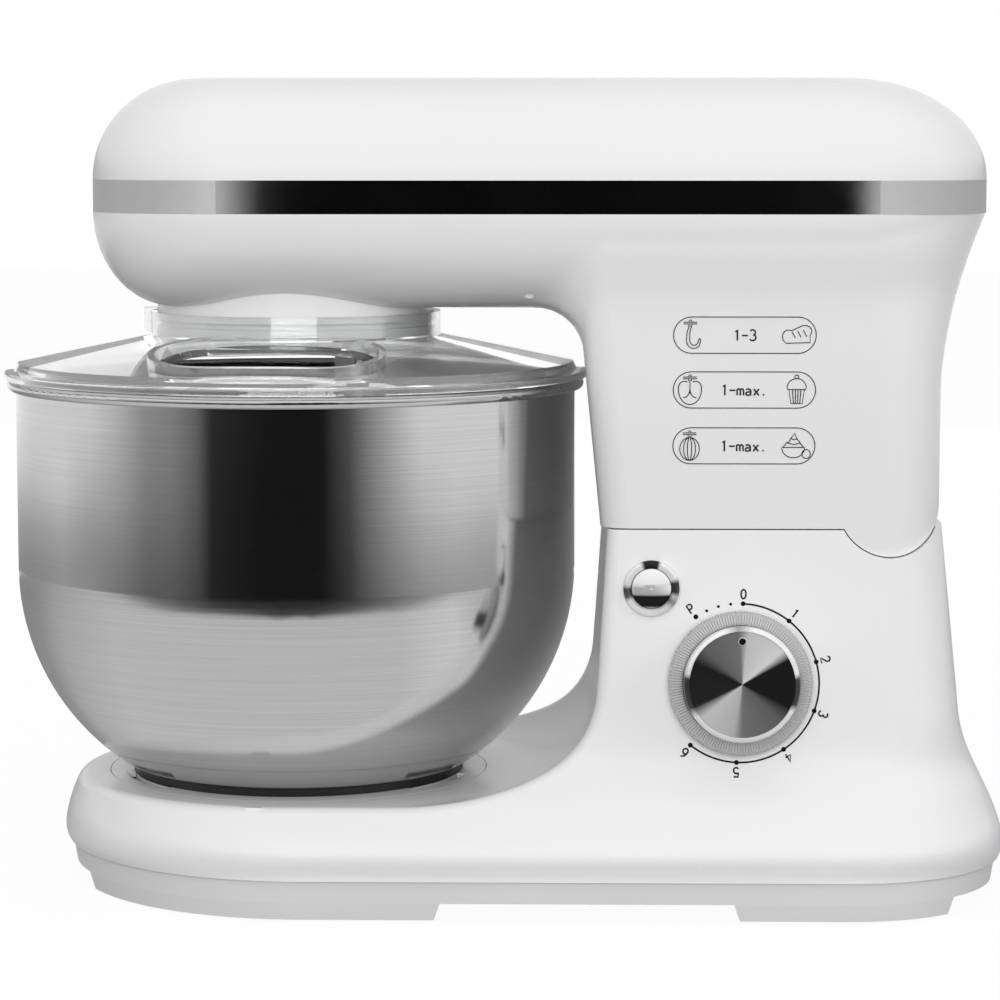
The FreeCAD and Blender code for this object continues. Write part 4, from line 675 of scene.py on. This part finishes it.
def hookSketch():
    outer = [(-0.35, 2.6), (-0.9, 0.9), (-1.0, -0.4)] + arcPoints(1.0, -1.4, 2.1, 2.4, 165, 320, 14)
    inner = [(0.35, 2.6), (-0.1, 1.0), (-0.2, -0.2)] + arcPoints(1.1, -1.3, 1.3, 1.6, 160, 320, 12)
    tip = (2.6, -0.9)
    return toolHead() + [(outer + [(3.0, -1.4), tip], False), (inner + [(2.3, -1.7), tip], False)]


def paddleSketch():
    left, right = arcPoints(-1.6, 0.6, 1.7, 1.9, 60, 190, 12), arcPoints(1.6, 0.6, 1.7, 1.9, -10, 120, 12)
    heart = left + arcPoints(0, 0.2, 3.3, 4.4, 188, 352, 26) + right
    ribs = [arcPoints(-1.7, 0.4, 1.7, 2.6, 0, -95, 10), arcPoints(1.7, 0.4, 1.7, 2.6, 180, 275, 10)]
    return toolHead() + [(heart, False), ([(0, 2.4), (0, -1.0)], False)] + [(rib, False) for rib in ribs]


def whiskSketch():
    return toolHead() + [(arcPoints(0, -0.9, reach, 3.3, 80, -260, 30), False) for reach in (0.6, 1.7, 2.8)]


def loafSketch():
    crust = arcPoints(-2.6, -0.4, 1.6, 1.9, 205, 60, 10) + arcPoints(2.1, 1.1, 2.0, 1.7, 120, -40, 12)
    foot = [(3.7, -2.1), (-3.2, -2.3), (-4.2, -1.2)]
    slits = [([(-1.5 + 1.6 * i, 0.9 + 0.3 * i), (-0.5 + 1.6 * i, -0.8 + 0.2 * i)], False) for i in range(3)]
    return [(crust + foot, True)] + slits


def muffinSketch():
    cap = arcPoints(0, 0.7, 2.7, 2.6, -12, 192, 22)
    cup = [(-2.2, 0.2), (-1.6, -3.9), (1.6, -3.9), (2.2, 0.2)]
    pleats = [([(-1.2 + 0.8 * i, 0.1), (-0.9 + 0.6 * i, -3.8)], False) for i in range(4)]
    return [(cap, True), (cup, True)] + pleats + [(arcPoints(0, 3.8, 0.55, 0.55, 0, 360, 12), True)]


def creamSketch():
    dish = arcPoints(-0.8, -0.4, 3.3, 3.0, 180, 360, 22)
    peak = [(-3.6, -0.2), (-2.6, 1.0), (-2.0, 1.2), (-1.4, 2.3), (-0.4, 3.7), (0.2, 2.1), (1.0, 1.2)]
    peak += [(1.2, 0.8), (2.0, -0.2)]
    folds = [[(-2.6, 0.9), (-0.6, 0.4), (1.2, 0.9)], [(-1.5, 2.2), (-0.6, 1.8), (0.2, 2.0)]]
    berry = arcPoints(2.9, -2.3, 1.2, 1.3, 0, 360, 16)
    return [(dish, True), (peak, False), (berry, True)] + [(fold, False) for fold in folds]


def speedGuide():
    rows = [(hookSketch(), "1-3", loafSketch()), (paddleSketch(), "1-max.", muffinSketch()),
            (whiskSketch(), "1-max.", creamSketch())]
    for index, (tool, words, food) in enumerate(rows):
        height = guide["heights"][index]
        plane = Matrix(((1, 0, 0, guide["x"]), (0, 0, -1, guide["faceY"]), (0, 1, 0, height), (0, 0, 0, 1)))
        shapes = [pill(), lettering(words, guide["textSize"], guide["textPen"])]
        shapes += drawn(tool, guide["toolX"]) + drawn(food, guide["foodX"])
        printOn("speedGuide%d" % (index + 1), shapes, plane, "head_lower_housing", guideInk, "head")


speedGuide()
print("mixer: speed guide printed")


# stage: pale floor, soft lights, cards that only the metal sees
stage = {
    "ambient": 0.57, "floorGlow": 0.95, "floorBounce": 0.10, "floorMirror": 0.76,
    "floorHalf": 6.0, "floorDrop": 0.2 * mm,
    "cardWhite": 0.98, "fullDraw": 80.0,       # brightest grey of a card, degrees to its drawn-in foot
}
lamps = {
    "keyAbove": {"place": (-0.25, -1.5, 1.9), "aim": (0, 0, 0.16), "size": 1.5, "power": 2.6},
    "fillLeft": {"place": (-1.9, -0.5, 0.9), "aim": (-0.05, 0, 0.15), "size": 1.2, "power": 3.0},
    "fillRight": {"place": (1.9, -0.7, 0.9), "aim": (0.05, 0, 0.15), "size": 1.2, "power": 6.4},
    "frontFill": {"place": (0.0, -1.6, 0.4), "aim": (0, 0, 0.2), "size": 1.2, "power": 15.4},
    "backFill": {"place": (0.2, 1.9, 0.7), "aim": (0, 0, 0.15), "size": 1.4, "power": 7.0},
}
# tones are greys by degrees from straight ahead, left is negative; rise is by share of the card's height
cards = {
    "bandCard": {
        "middleX": 0.0, "radius": 0.90, "apron": 0.88, "foot": 0.18, "top": 0.36, "lift": 0.0, "draw": 1.0,
        "tones": [(-180, 0.385), (-120, 0.42), (-60, 0.48), (-35, 0.55), (-22, 0.63), (-14.8, 0.63),
                  (-11.9, 0.49), (-11.05, 0.18), (-10.3, 0.019), (-9.3, 0.003), (13.05, 0.004),
                  (13.35, 0.13), (13.65, 0.40), (14.4, 0.55), (15.6, 0.59), (25, 0.60), (60, 0.52),
                  (120, 0.42), (180, 0.385)],
        "rise": [(0.0, 1.0), (1.0, 1.0)],
    },
    "bowlCard": {
        "middleX": bowl["x"], "radius": 0.70, "apron": 0.52, "foot": 0.001, "top": 0.235, "lift": 0.03,
        "draw": 1.0,
        "tones": [(-180, 0.62), (-150, 0.76), (-125, 0.84), (-99, 1.0), (-83, 0.76), (-67, 0.53),
                  (-54, 0.30), (-43, 0.25), (-33, 0.14), (-27.5, 0.02), (-10, 0.006), (14, 0.006),
                  (24, 0.08), (36, 0.36), (54, 0.80), (66, 0.97), (92, 1.05), (125, 0.82), (180, 0.62)],
        "rise": [(0.0, 0.34), (0.18, 0.57), (0.33, 1.0), (0.5, 1.35), (1.0, 1.6)],
    },
    "floorCard": {
        "middleX": bowl["x"], "radius": 0.90, "apron": 0.10, "foot": 0.0002, "top": 0.0004, "lift": 0.0,
        "draw": 0.0,
        "tones": [(-180, 0.24), (-152, 0.27), (-122, 0.38), (-103, 0.57), (-84, 0.68), (-67, 0.76),
                  (40, 0.76), (55, 0.88), (64, 0.92), (74, 0.76), (100, 0.45), (180, 0.24)],
        "rise": [(0.0, 1.0), (1.0, 1.0)],
    },
}


def seenWhite(mat):
    # camera, mirror and clear-plastic rays see the plain white surround
    path = addNode(mat, "ShaderNodeLightPath")
    first = addNode(mat, "ShaderNodeMath", operation="MAXIMUM")
    second = addNode(mat, "ShaderNodeMath", operation="MAXIMUM")
    wire(mat, path.outputs["Is Camera Ray"], first.inputs[0])
    wire(mat, path.outputs["Is Glossy Ray"], first.inputs[1])
    wire(mat, first.outputs[0], second.inputs[0])
    wire(mat, path.outputs["Is Transmission Ray"], second.inputs[1])
    return second.outputs[0]


def makeWorld():
    world = bpy.data.worlds.new("whiteSurround")
    scene.world = world
    world.use_nodes = True
    shade = world.node_tree.nodes["Background"]
    shade.inputs["Color"].default_value = (1, 1, 1, 1)
    level = addNode(world, "ShaderNodeMapRange")
    level.inputs["To Min"].default_value = stage["ambient"]
    level.inputs["To Max"].default_value = 1.0
    wire(world, seenWhite(world), level.inputs["Value"])
    wire(world, level.outputs["Result"], shade.inputs["Strength"])


def makeFloor():
    mat = bpy.data.materials.new("paleFloor")
    mat.use_nodes = True
    mat.cycles.emission_sampling = "NONE"
    tree = mat.node_tree
    shader = tree.nodes["Principled BSDF"]
    shader.inputs["Roughness"].default_value = 0.9
    seen = seenWhite(mat)
    tint = addNode(mat, "ShaderNodeMapRange")
    tint.inputs["To Min"].default_value = stage["floorBounce"]
    tint.inputs["To Max"].default_value = 1.0
    wire(mat, seen, tint.inputs["Value"])
    wire(mat, tint.outputs["Result"], shader.inputs["Base Color"])
    glow = addNode(mat, "ShaderNodeEmission")
    path = addNode(mat, "ShaderNodeLightPath")
    mirrored = addNode(mat, "ShaderNodeMapRange")
    mirrored.inputs["To Min"].default_value = 1.0
    mirrored.inputs["To Max"].default_value = stage["floorMirror"]
    wire(mat, path.outputs["Is Glossy Ray"], mirrored.inputs["Value"])
    wire(mat, mirrored.outputs["Result"], glow.inputs["Strength"])
    mix = addNode(mat, "ShaderNodeMixShader")
    share = addNode(mat, "ShaderNodeMath", operation="MULTIPLY")
    share.inputs[1].default_value = stage["floorGlow"]
    wire(mat, seen, share.inputs[0])
    wire(mat, share.outputs[0], mix.inputs["Fac"])
    wire(mat, shader.outputs[0], mix.inputs[1])
    wire(mat, glow.outputs[0], mix.inputs[2])
    wire(mat, mix.outputs[0], tree.nodes["Material Output"].inputs["Surface"])
    side = stage["floorHalf"]
    corners = [(-side, -side, 0), (side, -side, 0), (side, side, 0), (-side, side, 0)]
    floor = newPiece("paleFloor", corners, [(0, 1, 2, 3)], mat, None)
    floor.location.z = -stage["floorDrop"]


def makeLamp(name, place, aim, size, power):
    data = bpy.data.lights.new(name, "AREA")
    data.shape = "DISK"
    data.size = size
    data.energy = power
    lamp = bpy.data.objects.new(name, data)
    scene.collection.objects.link(lamp)
    lamp.location = place
    lamp.rotation_mode = "QUATERNION"
    lamp.rotation_quaternion = (Vector(aim) - Vector(place)).to_track_quat("-Z", "Y")
    lamp.visible_glossy = False               # soft light only, no bright patch on the shell


def toneAt(tones, degrees):
    for (start, low), (end, high) in zip(tones, tones[1:]):
        if degrees <= end:
            return low + (high - low) * (degrees - start) / (end - start)
    return tones[-1][1]


def ringCard(name, middleX, radius, apron, foot, top, lift, draw, tones, rise):
    # a curved card that only mirror rays see, graded both ways, with its foot laid inwards
    count = len(rise) + 1
    verts, faces, greys = [], [], []
    first, last = tones[0][0], tones[-1][0]
    steps = 4 * int(last - first)
    for i in range(steps + 1):
        degrees = first + (last - first) * i / steps
        turn = math.radians(degrees)
        # the foot draws in and lifts towards the sides
        side = draw * min(1.0, (degrees / stage["fullDraw"]) ** 2)
        low = foot + side * lift
        rows = [(apron + (radius - apron) * side, low, rise[0][1])]
        rows += [(radius, low + (top - low) * share, factor) for share, factor in rise]
        for reach, z, factor in rows:
            verts.append((middleX + reach * math.sin(turn), -reach * math.cos(turn), z))
            greys.append(min(stage["cardWhite"], toneAt(tones, degrees) * factor))
    for i in range(steps):
        for j in range(count - 1):
            a, b = i * count + j, (i + 1) * count + j
            faces.append((a, b, b + 1, a + 1))
    mat = bpy.data.materials.new(name)
    mat.use_nodes = True
    mat.cycles.emission_sampling = "NONE"
    glow = addNode(mat, "ShaderNodeEmission", Strength=1.0)
    tone = addNode(mat, "ShaderNodeAttribute", attribute_name="tone")
    wire(mat, tone.outputs["Color"], glow.inputs["Color"])
    wire(mat, glow.outputs[0], mat.node_tree.nodes["Material Output"].inputs["Surface"])
    card = newPiece(name, verts, faces, mat, None)
    layer = card.data.color_attributes.new("tone", "FLOAT_COLOR", "POINT")
    for spot, grey in zip(layer.data, greys):
        spot.color = (grey, grey, grey, 1)
    card.visible_camera = False
    card.visible_diffuse = False
    card.visible_transmission = False
    card.visible_shadow = False


makeWorld()
makeFloor()
for name, facts in lamps.items():
    makeLamp(name, **facts)
for name, facts in cards.items():
    ringCard(name, **facts)
print("mixer: stage lit")


# camera at the photo's height and distance
cameraFacts = {
    "place": (0.024, -1.3065, 0.288), "lens": 120.6, "sensor": 36.0, "near": 0.01,
    "down": 6.17, "turn": 1.05,                # degrees
}
camData = bpy.data.cameras.new("photoCamera")
camData.lens = cameraFacts["lens"]
camData.sensor_width = cameraFacts["sensor"]
camData.clip_start = cameraFacts["near"]
camera = bpy.data.objects.new("photoCamera", camData)
scene.collection.objects.link(camera)
camera.location = cameraFacts["place"]
camera.rotation_euler = (math.radians(90 - cameraFacts["down"]), 0, math.radians(cameraFacts["turn"]))
scene.camera = camera
print("mixer: camera set")
